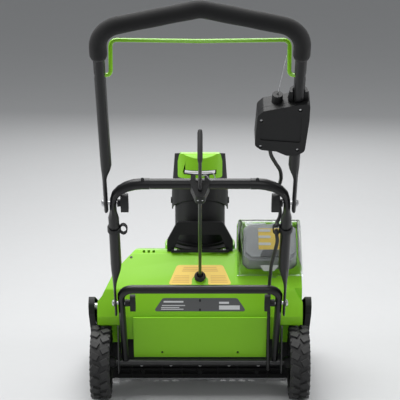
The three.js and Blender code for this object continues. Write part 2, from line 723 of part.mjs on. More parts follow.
function midTube(side) {
  const { x, tube: radius, foot, top, bend } = MID;
  const rings = [foot, 250, 270, 290, 310, 330, 476, 496].map((s) => [side * x, 0, s]);
  const run = new PipeRun([...rings, [side * x, 0, top, bend], [side * CROSS_TUBE.half, 0, top]], 6);
  const flattened = flatten(tube(run, radius), { legX: side * x, keep: side * (x + 6), share: 0.26, from: 330, to: 250 });
  const bent = squeeze(flattened, { at: () => x - 0.2, low: 496, high: 542, fade: 26, share: 0.38 });
  const holes = bar(4.4, 800, "x", [0, 0, MID.pivot], 12);
  const upperHole = bar(4.4, 800, "x", [0, 0, UPPER.pivot], 12);
  const socket = bar(MID.tube - 3, 34, "x", [side * (CROSS_TUBE.half + 1), 0, top], 16);
  return inHandle(cut(solid(bent), holes, upperHole, socket));
}

function crossTube() {
  const { radius, half } = CROSS_TUBE;
  const spigot = MID.tube - 3 - 0.5;
  const profile = [
    [0, -half - 15],
    [spigot, -half - 15],
    [spigot, -half + GAP],
    [radius, -half + GAP],
    [radius, half - GAP],
    [spigot, half - GAP],
    [spigot, half + 15],
    [0, half + 15],
  ];
  return inHandle(turned(profile, 16, "x", [0, 0, MID.top]));
}

// The loop of the grip: two rounded shoulders and a blunt peak between them.
const gripShoulder = UPPER.peak - 0.3 * (UPPER.x + UPPER.splay) + 12;
const gripCorners = [
  [-UPPER.x - UPPER.splay, 0, gripShoulder, 55],
  [0, 0, UPPER.peak, 40],
  [UPPER.x + UPPER.splay, 0, gripShoulder, 55],
];

function upperHandle() {
  const { x, splay, tube: radius, foot } = UPPER;
  const legAt = (s) => x + (splay * (s - foot)) / (gripShoulder - foot);
  const rings = [foot, 590, 604, 618, 632].map((s) => [legAt(s), 0, s]);
  const otherRings = rings.map(([a, ...rest]) => [-a, ...rest]);
  const run = new PipeRun([...otherRings, ...gripCorners, ...rings.reverse()], 4);
  let bent = tube(run, radius);
  for (const [, side] of both) {
    bent = flatten(bent, { legX: side * x, keep: side * (x + 6), share: 0.4, from: 632, to: 590 });
  }
  const bolts = bar(4.4, 800, "x", [0, 0, UPPER.pivot], 12);
  const bailHoles = bar(BAIL.wire + 0.8, 800, "x", [0, 0, BAIL.pivot], 12);
  return inHandle(cut(solid(bent), bolts, bailHoles));
}

function foamGrip() {
  const { x, splay, tube: radius, gripFoot, foot } = UPPER;
  const low = x + (splay * (gripFoot - foot)) / (gripShoulder - foot);
  const run = new PipeRun([[-low, 0, gripFoot], ...gripCorners, [low, 0, gripFoot]], 4);
  return inHandle(solid(tube(run, GRIP_RADIUS, { wall: GRIP_RADIUS - radius - 1, sides: 10 })));
}

function bailWireLoop() {
  const { pivot, wire, x, reach, forward } = BAIL;
  const run = new PipeRun(
    [
      [-x - 24, 0, pivot],
      [-x, 0, pivot, 9],
      [-x, forward, pivot + reach, 12],
      [0, forward, pivot + reach - 3, 300],
      [x, forward, pivot + reach, 12],
      [x, 0, pivot, 9],
      [x + 24, 0, pivot],
    ],
    4,
  );
  return inHandle(solid(tube(run, wire, { sides: 8 })));
}

// A clamping knob on the inner side of a pivot, with a two-lobed wing.
function clampKnob(side, x, s, length, wing) {
  const neck = turned(
    [[4.3, 0], [9, 0], [8, length - wing], [8, length], [4.3, length]].map(([r, h]) => [r, -h]).reverse(),
    10,
    "x",
  );
  const lobes = across([[-8, -24, 7], [8, -24, 7], [11, 0, 8], [8, 24, 7], [-8, 24, 7], [-11, 0, 8]], -length, -length + wing, 2);
  const made = cut(join(neck, lobes), bar(4.6, 400, "x", [0, 0, 0], 8));
  const faced = side > 0 ? made : made.mirror([1, 0, 0]);
  return inHandle(faced.translate([side * x, 0, s]));
}

// A round-headed carriage bolt through a pivot, its head outside.
function pivotBolt(side, headX, tipX, s) {
  const length = headX - tipX;
  const profile = [[0, 0], [4, 0], [4, length], [8.5, length], [7.5, length + 3], [4, length + 4.6], [0, length + 5]];
  const bolt = turned(profile, 12, "x");
  const faced = side > 0 ? bolt : bolt.mirror([1, 0, 0]);
  return inHandle(faced.translate([side * tipX, 0, s]));
}

function cableClip(side) {
  const x = MID.x;
  const s = 441;
  const strap = pipe(MID.tube + 2.8, MID.tube + 0.4, 12, "z", [side * x, 0, s], 16);
  const oval = (rx, rz) => new THREE.Shape().absellipse(side * 171, s, rx, rz, 0, 2 * Math.PI);
  const loop = along(oval(9.5, 15), -4, 4, 0, 6);
  const eye = along(oval(6.8, 12.2), -20, 20, 0, 6);
  const slit = block(side * (x + 8) - 8, side * (x + 8) + 8, 8, 30, s - 20, s + 20);
  return inHandle(cut(join(cut(loop, eye), strap), bar(MID.tube + 0.4, 60, "z", [side * x, 0, s], 16), slit));
}

// ---------------------------------------------------------------- controls
const boxAt = (body) => inHandle(body.translate([SWITCH_BOX.x, 0, SWITCH_BOX.s]));

// The switch box seen from behind: its top slopes up towards the tube.
const switchBoxOutline = (inset) => [
  [-56 + inset, -38, 12],
  [-52 + inset, 42, 12],
  [-40, 56 - inset, 8],
  [20, 70 - inset, 4],
  [56 - inset, 76 - inset, 8],
  [56 - inset, 30, 20],
  [50 - inset, -54, 12],
  [34, -66 + inset, 4],
  [12, -66 + inset, 6],
  [-10, -54 + inset, 8],
  [-42, -50 + inset, 8],
];

function switchBox() {
  const legX = UPPER.x + 2.2 - SWITCH_BOX.x;
  const shell = along(switchBoxOutline(0), -6, 26, 0, 3);
  const hollow = along(switchBoxOutline(3), -10, 22.5, 0, 2);
  const collar = turned([[0, -20], [20, -20], [22, 0], [19, 18], [0, 18]], 16, "z", [legX, 0, 78]);
  const boot = turned([[0, -10], [12, -10], [11, 10], [0, 10]], 12, "z", [-11, 7, 70]);
  const gland = turned([[0, -8], [7, -8], [8, 8], [0, 8]], 12, "z", [-23, 8, -56]);
  const tubeWay = bar(UPPER.tube + 1.4, 400, "z", [legX, 0, 0], 14);
  const tubeSeat = along([[legX - 17, -70], [legX + 17, -70], [legX + 17, 76], [legX - 17, 76]], -6, 24);
  const wireHole = bar(2.2, 60, "z", [-11, 7, 60], 8);
  const cableHole = bar(4.8, 30, "z", [-23, 8, -58], 14);
  const frontHole = bar(9.2, 30, "y", [-20, 24, 8], 14);
  const body = join(cut(shell, hollow), tubeSeat.intersect(shell), cut(collar, block(-80, 80, -60, -6, -30, 200)), boot, gland);
  return boxAt(cut(body, tubeWay, wireHole, cableHole, frontHole));
}

function switchBoxCover() {
  const legX = UPPER.x + 2.2 - SWITCH_BOX.x;
  const plate = along(switchBoxOutline(0), -20, -6 - GAP, 0, 3);
  const panel = along([[-46, -22, 6], [-44, 22, 6], [40, 44, 6], [40, -30, 6]], -22, -18.4, 0, 3);
  const screwWells = [[-44, 30], [36, 58], [-44, -40], [34, -50]].map(([x, z]) => bar(4, 12, "y", [x, -22, z], 10));
  const tubeWay = bar(UPPER.tube + 1.4, 400, "z", [legX, 0, 0], 14);
  return boxAt(cut(plate, panel, ...screwWells, tubeWay));
}

function startButton() {
  return boxAt(turned([[0, -12], [11, -12], [11, -9], [8.5, -9], [8.5, 3], [7, 5], [0, 5]], 12, "y", [-20, 25, 8]));
}

// ---------------------------------------------------------------- crank
const inCrank = (body) => leaning(body, CRANK.lean, CRANK.axis);
const CRANK_FOOT = -436;
const BOOT_FLANGE = -443;

function crankRod() {
  const run = new PipeRun([[0, 0, CRANK_FOOT], [0, 0, CRANK.elbow, 12], [0, CRANK.arm, CRANK.elbow]], 5);
  const clipHole = bar(1.6, 30, "x", [0, 36, CRANK.elbow], 8);
  return inCrank(cut(solid(tube(run, CRANK.wire, { sides: 12 })), clipHole));
}

function crankGrip() {
  const from = 62;
  const bore = CRANK.wire + GAP;
  const sleeve = turned(
    [[bore, 0], [4.8, 0], [5.8, 8], [5.8, 72], [4.6, 79], [0, 79], [0, CRANK.arm - from + GAP], [bore, CRANK.arm - from + GAP]],
    16,
    "z",
  );
  const onArm = sleeve.rotate([-90, 0, 0]).translate([0, from, CRANK.elbow]);
  return inCrank(onArm);
}

function rClip() {
  const y = 36;
  const run = new PipeRun(
    [
      [-33, y, 0],
      [27, y, 0, 6],
      [34, y - 12, 0, 7],
      [24, y - 22, 0, 8],
      [12, y - 4, 0, 6],
      [5.8, y - 7, 0, 4],
      [5.8, y - 10, 0],
    ],
    3,
  );
  return inCrank(solid(tube(run, 1.2, { sides: 6 })).translate([0, 0, CRANK.elbow]));
}

function crankBracket() {
  const rise = 24;
  const face = mirrored([[20.5, rise + 13, 3], [20.5, rise - 11, 3], [9, -17, 7]]);
  const body = upward(face, -16, 18);
  const tubeSeat = bar(CROSS_TUBE.radius + 0.6, 80, "x", [0, rise, 0], 16);
  const tubeMouth = block(-40, 40, rise, rise + 40, -CROSS_TUBE.radius - GAP, CROSS_TUBE.radius + GAP);
  const armWay = block(-9.5, 9.5, rise - 8, rise + 40, -30, 30);
  const rodHole = bar(CRANK.wire + 0.6, 80, "z", [0, 0, 0], 12);
  return inCrank(cut(body, tubeSeat, tubeMouth, armWay, rodHole));
}

function rodBoot() {
  const base = turned([[0, -14], [9.8, -14], [9.8, 0], [14, 0.4], [14, 3.4], [11, 6], [9.6, 11], [0, 11]], 14, "z", [0, 0, BOOT_FLANGE]);
  const mouth = turned([[0, 0], [5.6, 0], [8.4, 12], [0, 12]], 12, "z", [0, 0, BOOT_FLANGE]);
  return inCrank(cut(base, mouth));
}

// ---------------------------------------------------------------- chute
function chuteBaseRing() {
  const { y, deck, radius } = CHUTE;
  const lip = radius + 0.7;
  const groove = radius + 4.8;
  const profile = [[groove, GAP], [radius + 17, GAP], [radius + 17, 4], [radius + 9, 8], [radius + 9, 13], [lip, 13], [lip, 9], [groove, 9]];
  return turned(profile, 24, "z", [0, y, deck]);
}

// The arch behind the barrel that holds the chute down: a top bar on two flared legs, with a screwed foot plate.
function chuteBracket() {
  const { y, deck } = CHUTE;
  const low = deck + GAP;
  const arch = [[-81, low], [-81, low + 26, 8], [-56, deck + 74, 6], [56, deck + 74, 6], [81, low + 26, 8], [81, low]];
  const opening = [[-66, low - 2], [-50, deck + 42, 6], [50, deck + 42, 6], [66, low - 2]];
  const face = cut(along(arch, y - 77, y - 65, 0, 3), along(opening, y - 90, y - 50, 0, 3));
  const returns = both.map(([, side]) => {
    const [from, to] = side < 0 ? [-81, -77] : [77, 81];
    return across([[y - 77, low], [y - 77, low + 24], [y - 66, low + 24], [y - 32, low + 8], [y - 32, low]], from, to);
  });
  const foot = cut(block(-70, 70, y - 90, y - 80, low, deck + 6), ...[-46, 46].map((x) => bar(2.6, 30, "z", [x, y - 85, deck], 10)));
  const webs = both.map(([, side]) => block(side * 68 - 4, side * 68 + 4, y - 84, y - 70, low, deck + 6));
  return join(face, ...returns, foot, ...webs);
}

function chuteBarrel() {
  const { y, deck, radius, wall, top } = CHUTE;
  const foot = deck + 3.6;
  const flange = turned([[radius - wall, 0], [radius + 4, 0], [radius + 4, 4.6], [radius, 4.6], [radius, top - foot], [radius - wall, top - foot]], 28, "z", [0, y, foot]);
  const mouth = across([[y + 4, top + 10], [y + 12, 440], [y + 40, 380, 20], [y + 100, 372], [y + 100, top + 10]], -100, 100);
  const pivotHole = bar(3.6, 300, "x", [0, y, DEFLECTOR.pivotZ], 12);
  return cut(flange, mouth, pivotHole);
}

function deflectorForm(inset) {
  const { y } = CHUTE;
  const { radius, nose, top } = DEFLECTOR;
  const r = radius - inset;
  const plan = new THREE.Shape();
  plan.absarc(0, y, r, Math.PI, 2 * Math.PI);
  plan.lineTo(r, y + 200);
  plan.lineTo(-r, y + 200);
  const reach = inset > 0 ? 80 : 0;
  const side = [
    [100, 474 - reach],
    [100, 540],
    [108 + inset, top - 14 - inset, 6],
    [128 + inset, top - inset, 10],
    [nose + reach, top - 44 - inset - reach * 0.27],
    [nose - 8 + reach, top - 56 - reach],
    [y + 46 + reach, 452 - reach],
    [y + 8, 425 - reach],
  ];
  const front = mirrored([[57 - inset, top + 60], [62 - inset, top - 10], [radius - inset, 470], [radius - inset, 300]]);
  return upward(plan, 300, 700, 7).intersect(across(side, -120, 120)).intersect(along(front, 60, 420));
}

function deflector() {
  const shell = cut(deflectorForm(0), deflectorForm(3.2));
  const window = along([[-37, 533], [-37, 541], [37, 541], [37, 533]], 60, 160);
  const stubs = both.map(([, side]) => bar(3, 14, "x", [side * 63.5, CHUTE.y, DEFLECTOR.pivotZ], 12));
  const heads = both.map(([, side]) => bar(8, 3, "x", [side * (DEFLECTOR.radius + 1), CHUTE.y, DEFLECTOR.pivotZ], 16));
  return join(cut(shell, window), ...stubs, ...heads);
}

function deflectorPanel() {
  const face = along(mirrored([[50, 582, 8], [54.5, 560], [54.5, 521, 5]]), 60, 142, 0, 3);
  const slot = along([[-40, 531], [-40, 543], [40, 543], [40, 531]], 60, 160);
  return cut(cut(deflectorForm(-3.4), deflectorForm(-GAP)).intersect(face), slot);
}

// ---------------------------------------------------------------- cables
// The control cable runs down the right of the handle, through its clip, to the hood's underside: [x, n, s].
const UPPER_CABLE = [
  [148, 8, 676],
  [152, 10, 652],
  [163, 17, 622],
  [174, 22, 596],
  [177, 24, 572],
  [174, 30, 540],
  [174.5, 31, 500],
  [179, 24, 472],
  [178, 21, 457],
  [172.5, 13, 448.5],
  [170.4, 2.6, 443],
];
const LOWER_CABLE = [
  [170.3, -1.2, 440.6],
  [171, -11, 433],
  [173, -11, 414],
  [169, -3, 370],
  [164, 8, 320],
  [163, 20, 275],
  [162.5, 27, 245],
  [163, 33, 199],
  [164.7, 34.8, 101.6],
  [165.4, 6.6, 31.6],
  [165.4, -8, 3.1],
  [165.4, -14.6, -7],
  [165.4, -13.6, -21.6],
  [165.4, -3.3, -25.4],
  [165.4, 7.9, -25.7],
  [165.4, 25, -19],
  [165, 54.9, -3.2],
];

function cable(route, steps) {
  const curve = new THREE.CatmullRomCurve3(route.map((p) => new THREE.Vector3(...p)), false, "centripetal");
  return inHandle(solid(tube(curve, 4.1, { sides: 8, steps })));
}

function bailWire() {
  const run = new PipeRun([[SWITCH_BOX.x - 11, 7, SWITCH_BOX.s + 74], [BAIL.x - 5.6, 20, BAIL.pivot + 34]], 2);
  return inHandle(solid(tube(run, 0.9, { sides: 8 })));
}

// ---------------------------------------------------------------- assembly
const machine = new THREE.Group();
machine.add(
  part("main_housing", mainHousing(), GREEN),
  part("rear_cover", rearCover(), GREEN),
  part("auger_housing", augerHousing(), BLACK_PLASTIC),
  part("scraper_bar", scraperBar(), STEEL),
  part("motor", motorBody(), COPPER_GREY),
  part("motor_pulley", motorPulley(), STEEL),
  part("drive_belt", driveBelt(), BELT_RUBBER),
  part("auger_pulley", augerPulley(), STEEL),
  part("controller", controller(), BLACK_PLASTIC),
  part("auger_shaft", augerShaft(), STEEL),
  part("centre_paddle", centrePaddle(), RUBBER),
  part("battery_pack", batteryPack(), BATTERY_GREY),
  part("battery_terminal_block", terminalBlock(), BLACK_PLASTIC),
  part("battery_lid", batteryLid(), SMOKED_CLEAR),
  part("axle", axle(), STEEL),
  part("lower_frame", lowerFrame(), BLACK_PAINT),
  part("cross_tube", crossTube(), BLACK_PAINT),
  part("crank_bracket", crankBracket(), BLACK_PLASTIC),
  part("crank_rod", crankRod(), BLACK_PAINT),
  part("crank_grip", crankGrip(), RUBBER),
  part("r_clip", rClip(), STEEL),
  part("rod_boot", rodBoot(), RUBBER),
  part("chute_base_ring", chuteBaseRing(), BLACK_PLASTIC),
  part("chute_bracket", chuteBracket(), BLACK_PLASTIC),
  part("chute_barrel", chuteBarrel(), BLACK_PLASTIC),
  part("deflector", deflector(), BLACK_PLASTIC),
  part("deflector_panel", deflectorPanel(), GREEN),
  part("upper_handle", upperHandle(), BLACK_PAINT),
  part("foam_grip", foamGrip(), FOAM),
  part("bail", bailWireLoop(), GREEN),
  part("switch_box", switchBox(), BLACK_PLASTIC),
  part("switch_box_cover", switchBoxCover(), BLACK_PLASTIC),
  part("start_button", startButton(), GREEN),
  part("upper_cable", cable(UPPER_CABLE, 20), RUBBER),
  part("lower_cable", cable(LOWER_CABLE, 24), RUBBER),
  part("bail_wire", bailWire(), STEEL),
);
for (const [name, side] of both) {
  machine.add(
    part(name + "_side_cover", sideCover(side), BLACK_PLASTIC),
    part(name + "_auger_flight", augerFlight(side), RUBBER),
    part(name + "_auger_bearing", augerBearing(side), STEEL),
    part(name + "_tyre", tyre(side), RUBBER),
    part(name + "_wheel_hub", wheelHub(side), BLACK_PLASTIC),
    part(name + "_axle_plate", axlePlate(side), BLACK_PAINT),
    part(name + "_mid_tube", midTube(side), BLACK_PAINT),
    part(name + "_cable_clip", cableClip(side), BLACK_PLASTIC),
    part(name + "_lower_bolt", pivotBolt(side, 201.3, 158, MID.pivot), STEEL),
    part(name + "_upper_bolt", pivotBolt(side, 211.8, 165, UPPER.pivot), STEEL),
    part(name + "_lower_knob", clampKnob(side, 175.2, MID.pivot, 24, 12.5), BLACK_PLASTIC),
    part(name + "_upper_knob", clampKnob(side, 181.5, UPPER.pivot, 24.2, 17), BLACK_PLASTIC),
  );
}

const product = new THREE.Group();
product.add(machine);
product.updateMatrixWorld(true);
const extent = new THREE.Box3().setFromObject(product);
const centre = extent.getCenter(new THREE.Vector3());
machine.position.set(-centre.x, -centre.y, -extent.min.z);

export default product;
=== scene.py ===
# %% [markdown]
# # A cordless snow thrower, piece by piece
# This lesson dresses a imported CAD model. The CAD parts keep their size and place. Blender gives them soft
# edges, procedural finishes and the small pieces that a bench model leaves out: tread, screws, plates,
# ribs and cables. The first cell loads the model as a fixed frame, so that every later position is read
# from it.

# %% Load the frame
import json
import math

import bmesh
import bpy
from mathutils import Matrix, Quaternion, Vector
from mathutils.bvhtree import BVHTree


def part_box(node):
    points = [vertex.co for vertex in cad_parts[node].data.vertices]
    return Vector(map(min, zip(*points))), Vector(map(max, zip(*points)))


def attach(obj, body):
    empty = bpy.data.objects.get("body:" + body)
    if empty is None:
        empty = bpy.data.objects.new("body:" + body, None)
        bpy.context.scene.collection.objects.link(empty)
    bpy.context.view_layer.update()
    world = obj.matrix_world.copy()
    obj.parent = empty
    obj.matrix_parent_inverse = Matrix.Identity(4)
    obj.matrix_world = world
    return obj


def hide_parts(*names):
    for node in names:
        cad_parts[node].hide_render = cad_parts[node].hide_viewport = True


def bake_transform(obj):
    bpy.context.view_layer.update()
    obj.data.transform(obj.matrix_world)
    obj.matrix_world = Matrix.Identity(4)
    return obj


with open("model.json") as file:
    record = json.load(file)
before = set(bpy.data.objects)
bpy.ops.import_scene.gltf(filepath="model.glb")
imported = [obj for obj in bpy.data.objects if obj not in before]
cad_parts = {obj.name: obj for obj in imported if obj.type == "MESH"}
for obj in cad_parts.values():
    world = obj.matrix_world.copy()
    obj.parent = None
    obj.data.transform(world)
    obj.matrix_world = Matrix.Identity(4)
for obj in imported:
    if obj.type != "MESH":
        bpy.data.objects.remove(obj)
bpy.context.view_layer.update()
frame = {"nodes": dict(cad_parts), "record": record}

MM = 0.001

# %% [markdown]
# ## Places on the machine
# A designer measures this machine from its axle, and its handle along the plane that the tubes lie in.
# Small helpers turn those measures, in millimetres, into points of the frame. The alternative, typing
# world coordinates, would have to be redone whenever the model is packed with another origin.

# %% Helpers for places
axle_low, axle_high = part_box("axle")
AXLE_Y = (axle_low.y + axle_high.y) / 2
AXLE_Z = (axle_low.z + axle_high.z) / 2
HANDLE_LEAN = math.radians(28)
BAY_LEAN = math.radians(42)
CRANK_LEAN = math.radians(48.12)


def at(x, y, z):
    return Vector((x * MM, y * MM + AXLE_Y, z * MM))


def leaning(origin, lean, x, outward, along):
    """A point measured in a plane that leans back: outward is square to the plane and along climbs it."""
    ox, oy, oz = origin
    sin, cos = math.sin(lean), math.cos(lean)
    return at(ox + x, oy - along * sin + outward * cos, oz + along * cos + outward * sin)


def on_handle(x, outward, along):
    return leaning((0, -5, 99), HANDLE_LEAN, x, outward, along)


def on_crank(x, outward, along):
    return leaning((0, -292.2, 590.8), CRANK_LEAN, x, outward, along)


def in_box(x, outward, along):
    return on_handle(171 + x, outward, 741 + along)


def in_bay(x, up_slope, out):
    sin, cos = math.sin(BAY_LEAN), math.cos(BAY_LEAN)
    return at(170 + x, 67 + up_slope * cos - out * sin, 378 + up_slope * sin + out * cos)


print("axle at y", round(AXLE_Y, 4), "z", round(AXLE_Z, 4))

# %% [markdown]
# ## Camera, floor and light
# A long lens from behind and above flattens the machine as a catalogue picture does. A big soft panel
# overhead makes the deck bright and leaves the upright rear faces darker, two side panels draw lines
# along the black tubes, and a weak front fill opens the shadows.

# %% Camera, floor and lights
scene = bpy.context.scene
camera = bpy.data.objects.new("camera", bpy.data.cameras.new("camera"))
camera.data.lens = 135
camera.data.sensor_width = 36
camera.data.clip_end = 100
camera.location = at(0, -3430, 1417)
camera.rotation_euler = (math.radians(90 - 15), 0, 0)
scene.collection.objects.link(camera)
scene.camera = camera
scene.view_settings.view_transform = "Standard"

world = bpy.data.worlds.new("pale room")
world.use_nodes = True
world.node_tree.nodes["Background"].inputs["Color"].default_value = (0.86, 0.88, 0.9, 1)
world.node_tree.nodes["Background"].inputs["Strength"].default_value = 0.3
scene.world = world


def soft_panel(name, place, aim, size, watts):
    data = bpy.data.lights.new(name, "AREA")
    data.shape = "RECTANGLE"
    data.size, data.size_y = size
    data.energy = watts
    panel = bpy.data.objects.new(name, data)
    panel.location = place
    panel.rotation_mode = "QUATERNION"
    panel.rotation_quaternion = (aim - place).to_track_quat("-Z", "Y")
    scene.collection.objects.link(panel)


middle = at(0, 60, 420)
soft_panel("overhead", at(-300, 500, 2600), middle, (2.2, 1.6), 66)
soft_panel("left side", at(-2200, -300, 1100), middle, (0.7, 2.0), 20)
soft_panel("right side", at(2200, -200, 1100), middle, (0.7, 2.0), 20)
soft_panel("behind fill", at(500, -3200, 2300), middle, (2.0, 1.6), 19)
soft_panel("front fill", at(200, 2800, 1500), middle, (2.0, 1.4), 22)

floor_mesh = bpy.data.meshes.new("floor")
floor_half = 14
floor_corners = [(x * floor_half, y * floor_half, 0) for x, y in ((-1, -1), (1, -1), (1, 1), (-1, 1))]
floor_mesh.from_pydata(floor_corners, [], [(0, 1, 2, 3)])
floor = bpy.data.objects.new("floor", floor_mesh)
scene.collection.objects.link(floor)
print("camera at", tuple(round(c, 3) for c in camera.location))

# %% [markdown]
# ## Shared finish effects
# Moulded plastic, powder coat and rubber all need the same few effects: a fine grain, a slow drift of
# tone, rubbed edges and a little dust. Each effect is one shader node group with named inputs, built
# once, so every finish uses the same recipe with its own values. Copying the nodes into each material
# would work too, and would be hard to mend.

# %% A helper that starts a shader group
def start_group(name, inputs, outputs):
    tree = bpy.data.node_groups.new(name, "ShaderNodeTree")
    for label, kind, value in inputs:
        socket = tree.interface.new_socket(label, in_out="INPUT", socket_type=kind)
        if value is not None:
            socket.default_value = value
    for label, kind in outputs:
        tree.interface.new_socket(label, in_out="OUTPUT", socket_type=kind)
    return tree, tree.nodes.new("NodeGroupInput"), tree.nodes.new("NodeGroupOutput")


def math_node(tree, operation, a, b, clamp=False):
    node = tree.nodes.new("ShaderNodeMath")
    node.operation = operation
    node.use_clamp = clamp
    for socket, value in zip(node.inputs, (a, b)):
        if isinstance(value, (int, float)):
            socket.default_value = value
        else:
            tree.links.new(value, socket)
    return node.outputs[0]


def noise_node(tree, vector, scale, detail=3.0, roughness=0.55):
    node = tree.nodes.new("ShaderNodeTexNoise")
    node.inputs["Detail"].default_value = detail
    node.inputs["Roughness"].default_value = roughness
    tree.links.new(vector, node.inputs["Vector"])
    if isinstance(scale, (int, float)):
        node.inputs["Scale"].default_value = scale
    else:
        tree.links.new(scale, node.inputs["Scale"])
    return node.outputs["Fac"]


# %% Grain: the fine height of a spark-eroded mould or a powder coat
def build_grain():
    tree, given, made = start_group(
        "surface grain",
        [("Vector", "NodeSocketVector", None), ("Scale", "NodeSocketFloat", 900.0),
         ("Depth", "NodeSocketFloat", 0.3)],
        [("Height", "NodeSocketFloat"), ("Sparkle", "NodeSocketFloat")],
    )
    fine = noise_node(tree, given.outputs["Vector"], given.outputs["Scale"], 2.0)
    cells = tree.nodes.new("ShaderNodeTexVoronoi")
    cells.feature = "SMOOTH_F1"
    tree.links.new(given.outputs["Vector"], cells.inputs["Vector"])
    tree.links.new(given.outputs["Scale"], cells.inputs["Scale"])
    both = math_node(tree, "ADD", fine, cells.outputs["Distance"])
    tree.links.new(math_node(tree, "MULTIPLY", both, given.outputs["Depth"]), made.inputs["Height"])
    tree.links.new(fine, made.inputs["Sparkle"])
    return tree


# %% Tone drift: slow, cloudy change over a large moulding
def build_drift():
    tree, given, made = start_group(
        "tone drift",
        [("Vector", "NodeSocketVector", None), ("Scale", "NodeSocketFloat", 6.0),
         ("Amount", "NodeSocketFloat", 0.08)],
        [("Tone", "NodeSocketFloat")],
    )
    slow = noise_node(tree, given.outputs["Vector"], given.outputs["Scale"], 4.0)
    centred = math_node(tree, "SUBTRACT", slow, 0.5)
    swing = math_node(tree, "MULTIPLY", centred, given.outputs["Amount"])
    tree.links.new(math_node(tree, "ADD", swing, 1.0), made.inputs["Tone"])
    return tree


# %% Rubbed edges: where the surface bends outwards, broken up by noise
def build_rub():
    tree, given, made = start_group(
        "rubbed edges",
        [("Vector", "NodeSocketVector", None), ("Amount", "NodeSocketFloat", 0.5)],
        [("Mask", "NodeSocketFloat")],
    )
    geometry = tree.nodes.new("ShaderNodeNewGeometry")
    ramp = tree.nodes.new("ShaderNodeMapRange")
    ramp.inputs["From Min"].default_value = 0.53
    ramp.inputs["From Max"].default_value = 0.62
    tree.links.new(geometry.outputs["Pointiness"], ramp.inputs["Value"])
    patches = noise_node(tree, given.outputs["Vector"], 60.0, 5.0, 0.65)
    broken = math_node(tree, "MULTIPLY", ramp.outputs["Result"], patches)
    tree.links.new(math_node(tree, "MULTIPLY", broken, given.outputs["Amount"], True), made.inputs["Mask"])
    return tree


# %% Dust: a thin grey film on faces that look up
def build_dust():
    tree, given, made = start_group(
        "settled dust",
        [("Vector", "NodeSocketVector", None), ("Amount", "NodeSocketFloat", 0.2)],
        [("Mask", "NodeSocketFloat")],
    )
    geometry = tree.nodes.new("ShaderNodeNewGeometry")
    split = tree.nodes.new("ShaderNodeSeparateXYZ")
    tree.links.new(geometry.outputs["Normal"], split.inputs["Vector"])
    upward = math_node(tree, "MAXIMUM", split.outputs["Z"], 0.0)
    patches = noise_node(tree, given.outputs["Vector"], 14.0, 6.0, 0.6)
    film = math_node(tree, "MULTIPLY", upward, patches)
    tree.links.new(math_node(tree, "MULTIPLY", film, given.outputs["Amount"], True), made.inputs["Mask"])
    return tree


# %% Streaks: the drawn marks of wire, brushed plate and turned metal
def build_streaks():
    tree, given, made = start_group(
        "drawn streaks",
        [("Vector", "NodeSocketVector", None), ("Stretch", "NodeSocketVector", (900.0, 30.0, 900.0))],
        [("Height", "NodeSocketFloat")],
    )
    stretched = tree.nodes.new("ShaderNodeVectorMath")
    stretched.operation = "MULTIPLY"
    tree.links.new(given.outputs["Vector"], stretched.inputs[0])
    tree.links.new(given.outputs["Stretch"], stretched.inputs[1])
    lines = noise_node(tree, stretched.outputs["Vector"], 1.0, 2.0)
    tree.links.new(lines, made.inputs["Height"])
    return tree


GRAIN = build_grain()
DRIFT = build_drift()
RUB = build_rub()
DUST = build_dust()
STREAKS = build_streaks()
print("shared effects:", [g.name for g in (GRAIN, DRIFT, RUB, DUST, STREAKS)])

# %% [markdown]
# ## One builder for every finish
# A finish is a base colour that drifts a little, pales where it is rubbed, greys where dust lies, and has
# a grain that moves its gloss and its bump. The builder wires the groups to one Principled shader. What
# is the same all over, such as metal, clear coat or index of refraction, stays on the shader's own
# sockets.

# %% The finish builder
def place_group(tree, group, vector, **values):
    node = tree.nodes.new("ShaderNodeGroup")
    node.node_tree = group
    tree.links.new(vector, node.inputs["Vector"])
    for label, value in values.items():
        node.inputs[label.replace("_", " ")].default_value = value
    return node


def mix_colour(tree, factor, a, b, blend="MIX"):
    node = tree.nodes.new("ShaderNodeMix")
    node.data_type = "RGBA"
    node.blend_type = blend
    for socket, value in ((node.inputs[0], factor), (node.inputs[6], a), (node.inputs[7], b)):
        if isinstance(value, (tuple, list, float, int)):
            socket.default_value = value
        else:
            tree.links.new(value, socket)
    return node.outputs[2]


